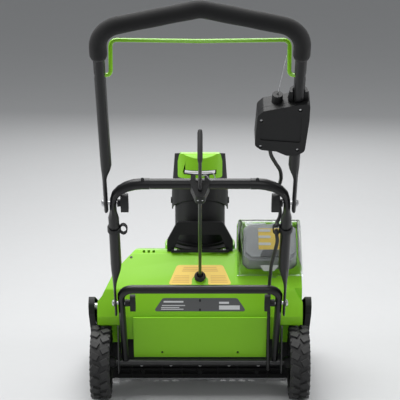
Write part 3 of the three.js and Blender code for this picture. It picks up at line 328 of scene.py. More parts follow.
def finish_of(name, colour, roughness, metallic=0.0, grain=(900.0, 0.3), bump=0.1, rubbed=None, rub=0.4,
              dust=0.15, drift=0.08, streaks=None, coat=0.0, sheen=0.0, swing=0.18, specular=0.5):
    material = bpy.data.materials.new(name)
    material.use_nodes = True
    tree = material.node_tree
    shader = tree.nodes["Principled BSDF"]
    shader.inputs["Metallic"].default_value = metallic
    shader.inputs["Coat Weight"].default_value = coat
    shader.inputs["Specular IOR Level"].default_value = specular
    shader.inputs["Coat Roughness"].default_value = 0.12
    shader.inputs["Sheen Weight"].default_value = sheen
    place = tree.nodes.new("ShaderNodeTexCoord").outputs["Object"]
    tone = place_group(tree, DRIFT, place, Amount=drift)
    fine = place_group(tree, GRAIN, place, Scale=grain[0], Depth=grain[1])
    base = mix_colour(tree, 1.0, (*colour, 1), tone.outputs["Tone"], "MULTIPLY")
    pale = rubbed or tuple(min(1.0, c * 1.6 + 0.03) for c in colour)
    worn = place_group(tree, RUB, place, Amount=rub)
    base = mix_colour(tree, worn.outputs["Mask"], base, (*pale, 1))
    film = place_group(tree, DUST, place, Amount=dust)
    base = mix_colour(tree, film.outputs["Mask"], base, (0.42, 0.41, 0.39, 1))
    tree.links.new(base, shader.inputs["Base Color"])
    gloss = math_node(tree, "MULTIPLY", fine.outputs["Sparkle"], swing)
    gloss = math_node(tree, "ADD", gloss, roughness - swing / 2)
    gloss = math_node(tree, "ADD", gloss, math_node(tree, "MULTIPLY", film.outputs["Mask"], 0.3), True)
    tree.links.new(gloss, shader.inputs["Roughness"])
    height = fine.outputs["Height"]
    if streaks:
        drawn = place_group(tree, STREAKS, place, Stretch=streaks)
        height = math_node(tree, "ADD", height, drawn.outputs["Height"])
    relief = tree.nodes.new("ShaderNodeBump")
    relief.inputs["Strength"].default_value = bump
    relief.inputs["Distance"].default_value = 0.0006
    tree.links.new(height, relief.inputs["Height"])
    tree.links.new(relief.outputs["Normal"], shader.inputs["Normal"])
    return material


# %% [markdown]
# ## The finishes of this machine
# The hood is a lime-green satin moulding, the scoop and the small mouldings are near-black with a matt
# grain, and the tubes are powder-coated. Zinc-plated hardware is bright, and rubber and foam are dull.
# Each gets its own values.

# %% Finishes by record slot
LIME = (0.245, 0.6, 0.014)
COAL = (0.0062, 0.0065, 0.007)
FINISH = {
    "green_plastic": finish_of("lime satin moulding", LIME, 0.38, grain=(1100.0, 0.25), bump=0.06,
                               dust=0.02, rub=0.25, drift=0.12, coat=0.05, specular=0.3),
    "black_plastic": finish_of("black grained moulding", COAL, 0.5, grain=(850.0, 0.6), bump=0.2, dust=0.02,
                               rubbed=(0.03, 0.031, 0.033), rub=0.35, specular=0.33),
    "auger_rubber": finish_of("black auger rubber", COAL, 0.62, grain=(420.0, 0.8), bump=0.3, dust=0.06,
                              rubbed=(0.03, 0.03, 0.031), rub=0.5, specular=0.4),
    "tyre_rubber": finish_of("tyre rubber", (0.013, 0.013, 0.0135), 0.58, grain=(520.0, 0.8), bump=0.35,
                             dust=0.1, rubbed=(0.04, 0.04, 0.04), rub=0.6, drift=0.3, specular=0.45),
    "black_tube": finish_of("black powder coat", COAL, 0.36, grain=(1500.0, 0.7), bump=0.15, dust=0.01,
                            rubbed=(0.04, 0.04, 0.042), rub=0.2, coat=0.08, specular=0.36),
    "black_steel": finish_of("black painted steel", COAL, 0.3, grain=(1300.0, 0.5), bump=0.1, dust=0.01,
                             rubbed=(0.12, 0.12, 0.125), rub=0.3, coat=0.2, specular=0.45),
    "bright_steel": finish_of("zinc-plated steel", (0.56, 0.565, 0.575), 0.3, metallic=1.0,
                              grain=(700.0, 0.3), bump=0.08, rub=0.3, dust=0.05,
                              streaks=(900.0, 40.0, 900.0)),
    "motor_can": finish_of("dark motor enamel", (0.05, 0.052, 0.056), 0.38, grain=(900.0, 0.4), bump=0.12,
                           coat=0.2),
    "pulley_alloy": finish_of("cast alloy", (0.58, 0.58, 0.6), 0.42, metallic=1.0, grain=(480.0, 0.8),
                              bump=0.25),
    "green_wire": finish_of("lime gloss paint", LIME, 0.22, grain=(900.0, 0.3), bump=0.04, rub=0.25,
                            dust=0.01, coat=0.3, specular=0.35),
    "foam": finish_of("closed-cell foam", (0.011, 0.011, 0.0115), 0.8, grain=(640.0, 1.0), bump=0.45,
                      dust=0.04, rubbed=(0.025, 0.025, 0.025), rub=0.3, sheen=0.08, drift=0.25,
                      specular=0.35),
    "battery_grey": finish_of("grey battery moulding", (0.36, 0.365, 0.37), 0.42, grain=(900.0, 0.5),
                              bump=0.15, dust=0.04, specular=0.45),
    "cable_jacket": finish_of("cable jacket", (0.012, 0.012, 0.012), 0.42, grain=(800.0, 0.4), bump=0.1,
                              dust=0.02),
}
PRINT = {"grain": (1200.0, 0.3), "bump": 0.05, "rub": 0.1, "dust": 0.02}
AMBER = finish_of("amber plate print", (0.82, 0.57, 0.085), 0.4, **PRINT)
AMBER_INK = finish_of("amber plate ruled panels", (0.62, 0.37, 0.07), 0.5, **PRINT)
SLATE = finish_of("slate plate print", (0.085, 0.087, 0.09), 0.38, **PRINT)
PALE_INK = finish_of("pale plate panels", (0.6, 0.61, 0.62), 0.45, **PRINT)


# %% [markdown]
# ## Smoked clear lid
# The lid over the battery is tinted, glossy and a few millimetres thick. A full transmission shader with
# a grey tint and a plain index of refraction shows the pack through both walls. Mixing in a transparent
# shader would be cheaper, and would lose the bright edges that a thick moulding has.

# %% The clear moulding and the floor finish
def clear_moulding():
    material = bpy.data.materials.new("smoked clear moulding")
    material.use_nodes = True
    tree = material.node_tree
    shader = tree.nodes["Principled BSDF"]
    shader.inputs["Transmission Weight"].default_value = 1.0
    shader.inputs["IOR"].default_value = 1.3
    shader.inputs["Metallic"].default_value = 0.0
    place = tree.nodes.new("ShaderNodeTexCoord").outputs["Object"]
    tone = place_group(tree, DRIFT, place, Amount=0.06)
    tint = mix_colour(tree, 1.0, (0.88, 0.9, 0.9, 1), tone.outputs["Tone"], "MULTIPLY")
    film = place_group(tree, DUST, place, Amount=0.1)
    dusty = mix_colour(tree, film.outputs["Mask"], tint, (0.6, 0.6, 0.6, 1))
    tree.links.new(dusty, shader.inputs["Base Color"])
    gloss = math_node(tree, "ADD", math_node(tree, "MULTIPLY", film.outputs["Mask"], 0.6), 0.05, True)
    tree.links.new(gloss, shader.inputs["Roughness"])
    return material


FINISH["smoked_clear"] = clear_moulding()
floor.data.materials.append(
    finish_of("pale studio floor", (0.56, 0.565, 0.57), 0.6, grain=(40.0, 0.2), bump=0.02, rub=0.0, dust=0.0,
              drift=0.03)
)
print("finishes:", len(bpy.data.materials))

# %% [markdown]
# ## Softer edges on every CAD part
# A CAD mesh is loose triangles. A Geometry Nodes tree welds them, shades them smooth and keeps an edge
# sharp only where it turns by more than a set angle. It changes nothing in the mesh itself, because a
# modifier works on a copy. The usual Shade Smooth command would have to edit the mesh, which must stay as
# the CAD made it.

# %% The smoothing tree
def tree_start(name, inputs):
    tree = bpy.data.node_groups.new(name, "GeometryNodeTree")
    tree.interface.new_socket("Geometry", in_out="INPUT", socket_type="NodeSocketGeometry")
    names = {}
    for label, kind, value in inputs:
        socket = tree.interface.new_socket(label, in_out="INPUT", socket_type=kind)
        if value is not None:
            socket.default_value = value
        names[label] = socket.identifier
    tree.interface.new_socket("Geometry", in_out="OUTPUT", socket_type="NodeSocketGeometry")
    return tree, tree.nodes.new("NodeGroupInput"), tree.nodes.new("NodeGroupOutput"), names


def smoothing_tree():
    tree, given, made, names = tree_start(
        "weld and smooth",
        [("Weld distance", "NodeSocketFloat", 0.00001), ("Sharp angle", "NodeSocketFloat", math.radians(38))],
    )
    weld = tree.nodes.new("GeometryNodeMergeByDistance")
    tree.links.new(given.outputs["Geometry"], weld.inputs["Geometry"])
    tree.links.new(given.outputs["Weld distance"], weld.inputs["Distance"])
    smooth = tree.nodes.new("GeometryNodeSetShadeSmooth")
    tree.links.new(weld.outputs["Geometry"], smooth.inputs["Geometry"])
    turn = tree.nodes.new("GeometryNodeInputMeshEdgeAngle")
    sharp = tree.nodes.new("FunctionNodeCompare")
    sharp.data_type = "FLOAT"
    sharp.operation = "GREATER_THAN"
    tree.links.new(turn.outputs["Unsigned Angle"], sharp.inputs[0])
    tree.links.new(given.outputs["Sharp angle"], sharp.inputs[1])
    crease = tree.nodes.new("GeometryNodeSetShadeSmooth")
    crease.domain = "EDGE"
    crease.inputs["Shade Smooth"].default_value = False
    tree.links.new(smooth.outputs["Geometry"], crease.inputs["Geometry"])
    tree.links.new(sharp.outputs["Result"], crease.inputs["Selection"])
    tree.links.new(crease.outputs["Geometry"], made.inputs["Geometry"])
    return tree, names


SMOOTHING, SMOOTHING_INPUTS = smoothing_tree()


def soften(obj, sharp_degrees=38, round_mm=0.0):
    modifier = obj.modifiers.new("weld and smooth", "NODES")
    modifier.node_group = SMOOTHING
    modifier[SMOOTHING_INPUTS["Sharp angle"]] = math.radians(sharp_degrees)
    if round_mm:
        edge = obj.modifiers.new("rounded edges", "BEVEL")
        edge.width = round_mm * MM
        edge.segments = 2
        edge.limit_method = "ANGLE"
        edge.angle_limit = math.radians(sharp_degrees)
        edge.use_clamp_overlap = True
        edge.harden_normals = True


slot_of = {row["node"]: row["material_slot"] for row in frame["record"]["subparts"]}
ROUNDED = {"main_housing": 1.2, "rear_cover": 1.0, "auger_housing": 0.8, "switch_box": 1.0,
           "switch_box_cover": 0.8, "battery_pack": 1.6, "battery_lid": 0.8, "left_side_cover": 1.2,
           "right_side_cover": 1.2, "deflector": 0.8, "deflector_panel": 0.6, "chute_bracket": 0.8,
           "crank_bracket": 0.8}
for node, obj in frame["nodes"].items():
    obj.data.materials.clear()
    obj.data.materials.append(FINISH[slot_of[node]])
    soften(obj, round_mm=ROUNDED.get(node, 0.0))
axle = frame["nodes"]["axle"]
axle.data.materials[0] = FINISH["black_steel"]
print("softened", len(frame["nodes"]), "parts")

# %% [markdown]
# ## Small makers
# Later pieces need only a few operations: a mesh from points and faces, a lathe, a tube along a route and
# a thin plate on a slanted face. Each is a short function here, so that the pieces themselves read as a
# list of sizes.

# %% Meshes, lathes and tubes
def mesh_piece(name, points, faces, finish, smooth=True):
    mesh = bpy.data.meshes.new(name)
    mesh.from_pydata([tuple(p) for p in points], [], faces)
    shaped = bmesh.new()
    shaped.from_mesh(mesh)
    bmesh.ops.remove_doubles(shaped, verts=shaped.verts, dist=1e-6)
    bmesh.ops.recalc_face_normals(shaped, faces=shaped.faces)
    shaped.to_mesh(mesh)
    shaped.free()
    mesh.polygons.foreach_set("use_smooth", [smooth] * len(mesh.polygons))
    mesh.materials.append(finish)
    piece = bpy.data.objects.new(name, mesh)
    scene.collection.objects.link(piece)
    return piece


def seat(piece, body, slot, *replaced):
    """Gives a finished piece its body and hides the CAD nodes that it stands for. The slot is not used."""
    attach(piece, body)
    if replaced:
        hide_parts(*replaced)
    return piece


def lathe(profile, segments, centre, axis=Vector((1, 0, 0))):
    """A closed ring of revolution: profile points (radius, along the axis), in millimetres."""
    turn = axis.to_track_quat("Z", "Y").to_matrix()
    points, faces = [], []
    count = len(profile)
    for i in range(segments):
        angle = 2 * math.pi * i / segments
        for radius, height in profile:
            local = Vector((radius * math.cos(angle), radius * math.sin(angle), height)) * MM
            points.append(centre + turn @ local)
    for i in range(segments):
        for j in range(count):
            a, b = i * count + j, i * count + (j + 1) % count
            c, d = ((i + 1) % segments) * count + (j + 1) % count, ((i + 1) % segments) * count + j
            faces.append((a, b, c, d))
    return points, faces


def flowing(route, per_span=6):
    """A centripetal Catmull-Rom curve through the points of a route."""
    ends = [route[0] * 2 - route[1], *route, route[-1] * 2 - route[-2]]
    line = []
    for p0, p1, p2, p3 in zip(ends, ends[1:], ends[2:], ends[3:]):
        t1 = (p1 - p0).length ** 0.5
        t2 = t1 + (p2 - p1).length ** 0.5
        t3 = t2 + (p3 - p2).length ** 0.5
        for i in range(per_span):
            t = t1 + (t2 - t1) * i / per_span
            a1 = p0.lerp(p1, t / t1)
            a2 = p1.lerp(p2, (t - t1) / (t2 - t1))
            a3 = p2.lerp(p3, (t - t2) / (t3 - t2))
            b1 = a1.lerp(a2, t / t2)
            b2 = a2.lerp(a3, (t - t1) / (t3 - t1))
            line.append(b1.lerp(b2, (t - t1) / (t2 - t1)))
    return [*line, route[-1]]


def arc_between(enter, leave, steps):
    """Points of the arc from one radius to another."""
    turn = enter.rotation_difference(leave)
    return [Quaternion(turn.axis, turn.angle * i / steps) @ enter for i in range(steps + 1)]


def rounded_route(corners, steps=8):
    """A run of straight stretches whose corners (point, radius in mm) are rounded by arcs."""
    line = [corners[0][0]]
    for (before, _), (corner, radius), (after, _) in zip(corners, corners[1:], corners[2:]):
        back, on = (before - corner).normalized(), (after - corner).normalized()
        half = back.angle(on) / 2
        reach = radius * MM / math.tan(half)
        middle = corner + (back + on).normalized() * (radius * MM / math.sin(half))
        enter, leave = corner + back * reach - middle, corner + on * reach - middle
        line += [middle + point for point in arc_between(enter, leave, steps)]
    return [*line, corners[-1][0]]


def tube_mesh(line, radius_at, sides=16):
    """A closed tube along a line; radius_at gives the radius in millimetres at each share of its length."""
    lengths = [0.0]
    for a, b in zip(line, line[1:]):
        lengths.append(lengths[-1] + (b - a).length)
    points, faces = [], []
    across = None
    for i, centre in enumerate(line):
        ahead = (line[min(i + 1, len(line) - 1)] - line[max(i - 1, 0)]).normalized()
        if across is None:
            across = ahead.orthogonal().normalized()
        across = (across - ahead * across.dot(ahead)).normalized()
        other = ahead.cross(across)
        radius = radius_at(lengths[i] / lengths[-1]) * MM
        for k in range(sides):
            angle = 2 * math.pi * k / sides
            points.append(centre + (across * math.cos(angle) + other * math.sin(angle)) * radius)
    for i in range(len(line) - 1):
        for k in range(sides):
            a, b = i * sides + k, i * sides + (k + 1) % sides
            faces.append((a, b, b + sides, a + sides))
    faces.append(tuple(range(sides))[::-1])
    faces.append(tuple(range((len(line) - 1) * sides, len(line) * sides)))
    return points, faces


# %% Thin plates on slanted faces
def rounded_corners(corners, steps=5):
    """An outline in millimetres from corners (a, b, radius)."""
    flat = [(Vector((a, b, 0)), radius) for a, b, radius in corners]
    line = []
    for i, (corner, radius) in enumerate(flat):
        if not radius:
            line.append(corner)
            continue
        back = (flat[i - 1][0] - corner).normalized()
        on = (flat[(i + 1) % len(flat)][0] - corner).normalized()
        half = back.angle(on) / 2
        reach = radius / math.tan(half)
        middle = corner + (back + on).normalized() * (radius / math.sin(half))
        enter, leave = corner + back * reach - middle, corner + on * reach - middle
        line += [middle + point for point in arc_between(enter, leave, steps)]
    return [(p.x, p.y) for p in line]


def plate(name, origin, normal, corners, finish, low=-0.3, high=0.5, lip=0.35):
    """A thin plate on a face: corners are measured across X and up the face from origin, in millimetres."""
    normal = normal.normalized()
    right = Vector((1, 0, 0)) if abs(normal.x) < 0.9 else Vector((0, 1, 0))
    up = normal.cross(right).normalized()
    outline = rounded_corners(corners)
    centre = Vector((sum(a for a, _ in outline), sum(b for _, b in outline), 0)) / len(outline)
    points, faces = [], []
    levels = [(low, 0.0), (high - lip, 0.0), (high, lip)]
    for level, inset in levels:
        for a, b in outline:
            inward = Vector((centre.x - a, centre.y - b, 0)).normalized() * inset
            points.append(origin + (right * (a + inward.x) + up * (b + inward.y) + normal * level) * MM)
    count = len(outline)
    for ring in range(len(levels) - 1):
        for k in range(count):
            a, b = ring * count + k, ring * count + (k + 1) % count
            faces.append((a, b, b + count, a + count))
    faces.append(tuple(range(count))[::-1])
    faces.append(tuple(range((len(levels) - 1) * count, len(levels) * count)))
    return mesh_piece(name, points, faces, finish, smooth=False)


def prism(name, outline, low, high, finish, side_view=True):
    """A solid with one outline in millimetres: (y, z) run along X, or (x, z) run along Y."""
    count = len(outline)
    if side_view:
        points = [at(level, a, b) for level in (low, high) for a, b in outline]
    else:
        points = [at(a, level, b) for level in (high, low) for a, b in outline]
    faces = [(k, (k + 1) % count, (k + 1) % count + count, k + count)[::-1] for k in range(count)]
    faces += [tuple(range(count)), tuple(range(count, 2 * count))[::-1]]
    return mesh_piece(name, points, faces, finish, smooth=False)


def on_surface(node, start, direction):
    """Where a straight line from start first meets a CAD part, and the part's normal there."""
    mesh = frame["nodes"][node].data
    if node not in on_surface.trees:
        corners = [v.co for v in mesh.vertices]
        on_surface.trees[node] = BVHTree.FromPolygons(corners, [p.vertices for p in mesh.polygons])
    place, normal, _, _ = on_surface.trees[node].ray_cast(start, direction)
    return place, normal


on_surface.trees = {}

# %% [markdown]
# ## Trees for what repeats
# Tread lugs, ribs, teeth and screws are one shape made many times. Two Geometry Nodes trees do all of it:
# one turns copies round an axle, and the other sets copies along a line. Both end in Realize Instances
# and Set Material, and the result is turned into a plain mesh, so nothing is left live. Loops in Python
# could do it too, but the sizes would no longer be named inputs that can be tried out in the modifier
# panel.

# %% Copies round an axle and along a line
def finish_tree(tree, instances, given, made):
    real = tree.nodes.new("GeometryNodeRealizeInstances")
    tree.links.new(instances, real.inputs["Geometry"])
    painted = tree.nodes.new("GeometryNodeSetMaterial")
    tree.links.new(real.outputs["Geometry"], painted.inputs["Geometry"])
    tree.links.new(given.outputs["Finish"], painted.inputs["Material"])
    tree.links.new(painted.outputs["Geometry"], made.inputs["Geometry"])


def round_axle_tree():
    tree, given, made, names = tree_start(
        "copies round an axle",
        [("Count", "NodeSocketInt", 12), ("First turn", "NodeSocketFloat", 0.0),
         ("Centre", "NodeSocketVector", None), ("Finish", "NodeSocketMaterial", None)],
    )
    seats = tree.nodes.new("GeometryNodePoints")
    tree.links.new(given.outputs["Count"], seats.inputs["Count"])
    tree.links.new(given.outputs["Centre"], seats.inputs["Position"])
    index = tree.nodes.new("GeometryNodeInputIndex")
    share = math_node(tree, "DIVIDE", index.outputs["Index"], given.outputs["Count"])
    angle = math_node(tree, "MULTIPLY", share, 2 * math.pi)
    angle = math_node(tree, "ADD", angle, given.outputs["First turn"])
    turn = tree.nodes.new("ShaderNodeCombineXYZ")
    tree.links.new(angle, turn.inputs["X"])
    copies = tree.nodes.new("GeometryNodeInstanceOnPoints")
    tree.links.new(seats.outputs[0], copies.inputs["Points"])
    tree.links.new(given.outputs["Geometry"], copies.inputs["Instance"])
    tree.links.new(turn.outputs["Vector"], copies.inputs["Rotation"])
    finish_tree(tree, copies.outputs["Instances"], given, made)
    return tree, names


def along_line_tree():
    tree, given, made, names = tree_start(
        "copies along a line",
        [("Count", "NodeSocketInt", 6), ("Step", "NodeSocketVector", None),
         ("Finish", "NodeSocketMaterial", None)],
    )
    row = tree.nodes.new("GeometryNodeMeshLine")
    tree.links.new(given.outputs["Count"], row.inputs["Count"])
    tree.links.new(given.outputs["Step"], row.inputs["Offset"])
    copies = tree.nodes.new("GeometryNodeInstanceOnPoints")
    tree.links.new(row.outputs["Mesh"], copies.inputs["Points"])
    tree.links.new(given.outputs["Geometry"], copies.inputs["Instance"])
    finish_tree(tree, copies.outputs["Instances"], given, made)
    return tree, names


def at_seats_tree():
    """Copies of a screw at marked points, each with its axis along the point's own outward direction."""
    tree, given, made, names = tree_start(
        "screws at marked seats",
        [("Head radius", "NodeSocketFloat", 0.004), ("Head height", "NodeSocketFloat", 0.002),
         ("Recess width", "NodeSocketFloat", 0.0012), ("Finish", "NodeSocketMaterial", None)],
    )
    head = tree.nodes.new("GeometryNodeMeshCone")
    head.inputs["Vertices"].default_value = 20
    head.inputs["Side Segments"].default_value = 2
    tree.links.new(given.outputs["Head radius"], head.inputs["Radius Bottom"])
    tree.links.new(math_node(tree, "MULTIPLY", given.outputs["Head radius"], 0.72), head.inputs["Radius Top"])
    tree.links.new(given.outputs["Head height"], head.inputs["Depth"])
    cross = tree.nodes.new("GeometryNodeJoinGeometry")
    for long_axis in (0, 1):
        size = tree.nodes.new("ShaderNodeCombineXYZ")
        length = math_node(tree, "MULTIPLY", given.outputs["Head radius"], 1.1)
        tree.links.new(length, size.inputs[long_axis])
        tree.links.new(given.outputs["Recess width"], size.inputs[1 - long_axis])
        tree.links.new(given.outputs["Head height"], size.inputs[2])
        slot = tree.nodes.new("GeometryNodeMeshCube")
        tree.links.new(size.outputs["Vector"], slot.inputs["Size"])
        lifted = tree.nodes.new("GeometryNodeTransform")
        lift = tree.nodes.new("ShaderNodeCombineXYZ")
        tree.links.new(math_node(tree, "MULTIPLY", given.outputs["Head height"], 0.95), lift.inputs["Z"])
        tree.links.new(slot.outputs["Mesh"], lifted.inputs["Geometry"])
        tree.links.new(lift.outputs["Vector"], lifted.inputs["Translation"])
        tree.links.new(lifted.outputs["Geometry"], cross.inputs["Geometry"])
    cut = tree.nodes.new("GeometryNodeMeshBoolean")
    cut.operation = "DIFFERENCE"
    cut.solver = "EXACT"
    cut.inputs["Self Intersection"].default_value = True
    tree.links.new(head.outputs["Mesh"], cut.inputs["Mesh 1"])
    tree.links.new(cross.outputs["Geometry"], cut.inputs["Mesh 2"])
    facing = tree.nodes.new("GeometryNodeInputNamedAttribute")
    facing.data_type = "FLOAT_VECTOR"
    facing.inputs["Name"].default_value = "facing"
    aim = tree.nodes.new("FunctionNodeAlignRotationToVector")
    aim.axis = "Z"
    tree.links.new(facing.outputs["Attribute"], aim.inputs["Vector"])
    copies = tree.nodes.new("GeometryNodeInstanceOnPoints")
    tree.links.new(given.outputs["Geometry"], copies.inputs["Points"])
    tree.links.new(cut.outputs["Mesh"], copies.inputs["Instance"])
    tree.links.new(aim.outputs["Rotation"], copies.inputs["Rotation"])
    finish_tree(tree, copies.outputs["Instances"], given, made)
    return tree, names


AXLE_TREE = round_axle_tree()
LINE_TREE = along_line_tree()
SEAT_TREE = at_seats_tree()


def grown(seed, tree_and_names, finish, **inputs):
    """Runs a tree on a seed object, and leaves its result as a plain mesh in place of the seed's."""
    tree, names = tree_and_names
    modifier = seed.modifiers.new("copies", "NODES")
    modifier.node_group = tree
    modifier[names["Finish"]] = finish
    for label, value in inputs.items():
        modifier[names[label.replace("_", " ")]] = value
    seed.update_tag()
    graph = bpy.context.evaluated_depsgraph_get()
    mesh = bpy.data.meshes.new_from_object(seed.evaluated_get(graph), depsgraph=graph)
    seed.modifiers.remove(modifier)
    old = seed.data
    seed.data = mesh
    bpy.data.meshes.remove(old)
    return seed


def joined(name, pieces, finish):
    """Several pieces of one body as one mesh."""
    whole = bmesh.new()
    for piece in pieces:
        whole.from_mesh(piece.data)
    mesh = bpy.data.meshes.new(name)
    whole.to_mesh(mesh)
    whole.free()
    for piece in pieces:
        bpy.data.objects.remove(piece)
    mesh.materials.clear()
    mesh.materials.append(finish)
    result = bpy.data.objects.new(name, mesh)
    scene.collection.objects.link(result)
    return result


def brick(size, centre, finish, name="seed", turn=Matrix.Identity(3), bevel=0.0, taper=1.0):
    """A small block with eased edges: size and centre in millimetres and metres."""
    half = Vector(size) * MM / 2
    shaped = bmesh.new()
    bmesh.ops.create_cube(shaped, size=2.0)
    for vertex in shaped.verts:
        grow = taper if vertex.co.z > 0 else 1.0
        local = Vector((vertex.co.x * half.x * grow, vertex.co.y * half.y * grow, vertex.co.z * half.z))
        vertex.co = centre + turn @ local
    if bevel:
        bmesh.ops.bevel(shaped, geom=shaped.edges[:], offset=bevel * MM, segments=2, profile=0.5,
                        affect="EDGES")
    bmesh.ops.recalc_face_normals(shaped, faces=shaped.faces)
    mesh = bpy.data.meshes.new(name)
    shaped.to_mesh(mesh)
    shaped.free()
    mesh.materials.append(finish)
    piece = bpy.data.objects.new(name, mesh)
    scene.collection.objects.link(piece)
    return piece


print("trees:", AXLE_TREE[0].name, "|", LINE_TREE[0].name, "|", SEAT_TREE[0].name)

# %% [markdown]
# ## Tyres
# The tyre is a solid rubber ring with two staggered rows of slanted blocks and a shoulder block at each
# edge. The carcass is turned on a lathe with a rounded shoulder. One block is shaped, and the tree turns
# eighteen of them round the axle for each row. A displacement texture would be lighter, but would not
# survive as a shape.

# %% Carcass and tread
def tyre(name):
    low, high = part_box(f"{name}_tyre")
    centre = (low + high) / 2
    centre = Vector((centre.x, AXLE_Y, AXLE_Z))
    half = (high.x - low.x) / 2 / MM
    outer = (high.z - low.z) / 2 / MM
    base = outer - 5.0
    rim = 62
    edge = [(rim, 4), (rim + 3, 0.8), (rim + 10, 0), (base - 9, 0), (base - 4, 1.6), (base - 1, 4.5),
            (base, 9)]
    profile = [(r, -half + x) for r, x in edge] + [(r, half - x) for r, x in edge[::-1]]
    points, faces = lathe(profile, 72, centre)
    carcass = mesh_piece(f"{name}_carcass", points, faces, FINISH["tyre_rubber"])
    count = 18
    pieces = [carcass]
    for row in (-1, 1):
        slant = Matrix.Rotation(math.radians(28 * row), 3, "Z")
        block = brick((half * 0.86, 17, 7.5), Vector((row * half * 0.5, 0, outer - 3.95)) * MM,
                      FINISH["tyre_rubber"], turn=slant, bevel=0.9, taper=0.9)
        turned = grown(block, AXLE_TREE, FINISH["tyre_rubber"], Count=count, Centre=centre,
                       First_turn=(0.5 if row > 0 else 0.0) * 2 * math.pi / count)
        pieces.append(turned)
        shoulder = brick((7, 11, 15), Vector((row * (half - 3.1), 0, outer - 13.5)) * MM,
                         FINISH["tyre_rubber"], bevel=1.0, taper=0.8)
        turned = grown(shoulder, AXLE_TREE, FINISH["tyre_rubber"], Count=count, Centre=centre,
                       First_turn=(0.0 if row > 0 else 0.5) * 2 * math.pi / count)
        pieces.append(turned)
    whole = joined(f"{name}_tyre_tread", pieces, FINISH["tyre_rubber"])
    seat(whole, f"{name}_wheel", "tyre_rubber", f"{name}_tyre")
    return whole


for name in ("left", "right"):
    made_tyre = tyre(name)
    print(made_tyre.name, len(made_tyre.data.polygons), "faces")

# %% [markdown]
# ## Foam grip
# The grip is a long sleeve of closed-cell foam, slid over the tube with soapy water. Its ends are pulled
# tight and its skin is slightly fuller on the straight runs. A tube along the rounded route gives the
# form, with the radius changing near the ends. A fine horizontal ring at each end is the lip where the
# foam was cut.

# %% The sleeve
GRIP_PEAK = 1041
GRIP_X = 205
GRIP_FOOT = 921
GRIP_SHOULDER = GRIP_PEAK - 0.3 * GRIP_X + 12
grip_foot_x = 200.5 + 4.5 * (GRIP_FOOT - 500) / (GRIP_SHOULDER - 500)
grip_corners = [
    (on_handle(-grip_foot_x, 0, GRIP_FOOT), 0),
    (on_handle(-GRIP_X, 0, GRIP_SHOULDER), 55),
    (on_handle(0, 0, GRIP_PEAK), 46),
    (on_handle(GRIP_X, 0, GRIP_SHOULDER), 55),
    (on_handle(grip_foot_x, 0, GRIP_FOOT), 0),
]


def sleeve_radius(share):
    end = min(share, 1 - share)
    if end < 0.004:
        return 15.6
    if end < 0.012:
        return 17.4
    return 18.0 + 0.25 * math.sin(share * math.pi * 14)


grip_line = rounded_route(grip_corners, 10)
dense = []
for a, b in zip(grip_line, grip_line[1:]):
    steps = max(1, int((b - a).length / 0.006))
    dense += [a.lerp(b, k / steps) for k in range(steps)]
dense.append(grip_line[-1])
grip = mesh_piece("foam_sleeve", *tube_mesh(dense, sleeve_radius, 28), FINISH["foam"])
seat(grip, "top_handle", "foam", "foam_grip")
print("grip length", round(sum((b - a).length for a, b in zip(dense, dense[1:])), 3))

# %% [markdown]
# ## Control cable and bail wire
# The cable leaves the switch box, lies along the right leg, passes the pivot in a small loop, runs
# through the clip and down to the hood. Its route is a list of points on the handle, chosen where the
# clips and gland hold it.

# %% Cables along their routes
UPPER_CABLE = [(148, 8, 676), (152, 10, 652), (163, 17, 622), (174, 22, 596), (177, 24, 572), (174, 30, 540),
               (174.5, 31, 500), (179, 24, 472), (178, 21, 457), (172.5, 13, 448.5), (170.4, 2.6, 443)]
LOWER_CABLE = [(170.3, -1.2, 440.6), (171, -11, 433), (173, -11, 414), (169, -3, 370), (164, 8, 320),
               (163, 20, 275), (162.5, 27, 245), (163, 33, 199), (164.7, 34.8, 101.6), (165.4, 6.6, 31.6),
               (165.4, -8, 3.1), (165.4, -14.6, -7), (165.4, -13.6, -21.6), (165.4, -3.3, -25.4),
               (165.4, 7.9, -25.7), (165.4, 25, -19), (165, 54.9, -3.2)]
BAIL_WIRE = [(160, 7, 815), (175.9, 20, 910)]


def cable(name, route, radius, finish, replaced, per_span=8):
    line = flowing([on_handle(*p) for p in route], per_span)
    piece = mesh_piece(name, *tube_mesh(line, lambda share: radius, 12), finish)
    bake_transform(piece)
    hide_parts(replaced)
    print(name, "is", round(sum((q - p).length for p, q in zip(line, line[1:])), 3), "m long")
    return piece


cable("control_cable_upper", UPPER_CABLE, 4.1,
      FINISH["cable_jacket"], "upper_cable")
cable("control_cable_lower", LOWER_CABLE, 4.1,
      FINISH["cable_jacket"], "lower_cable", 6)
cable("bail_pull_wire", BAIL_WIRE, 0.9,
      FINISH["bright_steel"], "bail_wire", 24)

# %% [markdown]
# ## Printed plates
# A wide amber plate lies on the sloping deck round the rod's boot, and a slate plate sits on the steep
# face under it. Their shapes are trapezoids with rounded corners. The panels on them are blank: a maker
# would print the text there. Thin solids with a small lip catch the light like a real laminated plate,
# which a painted patch would not.

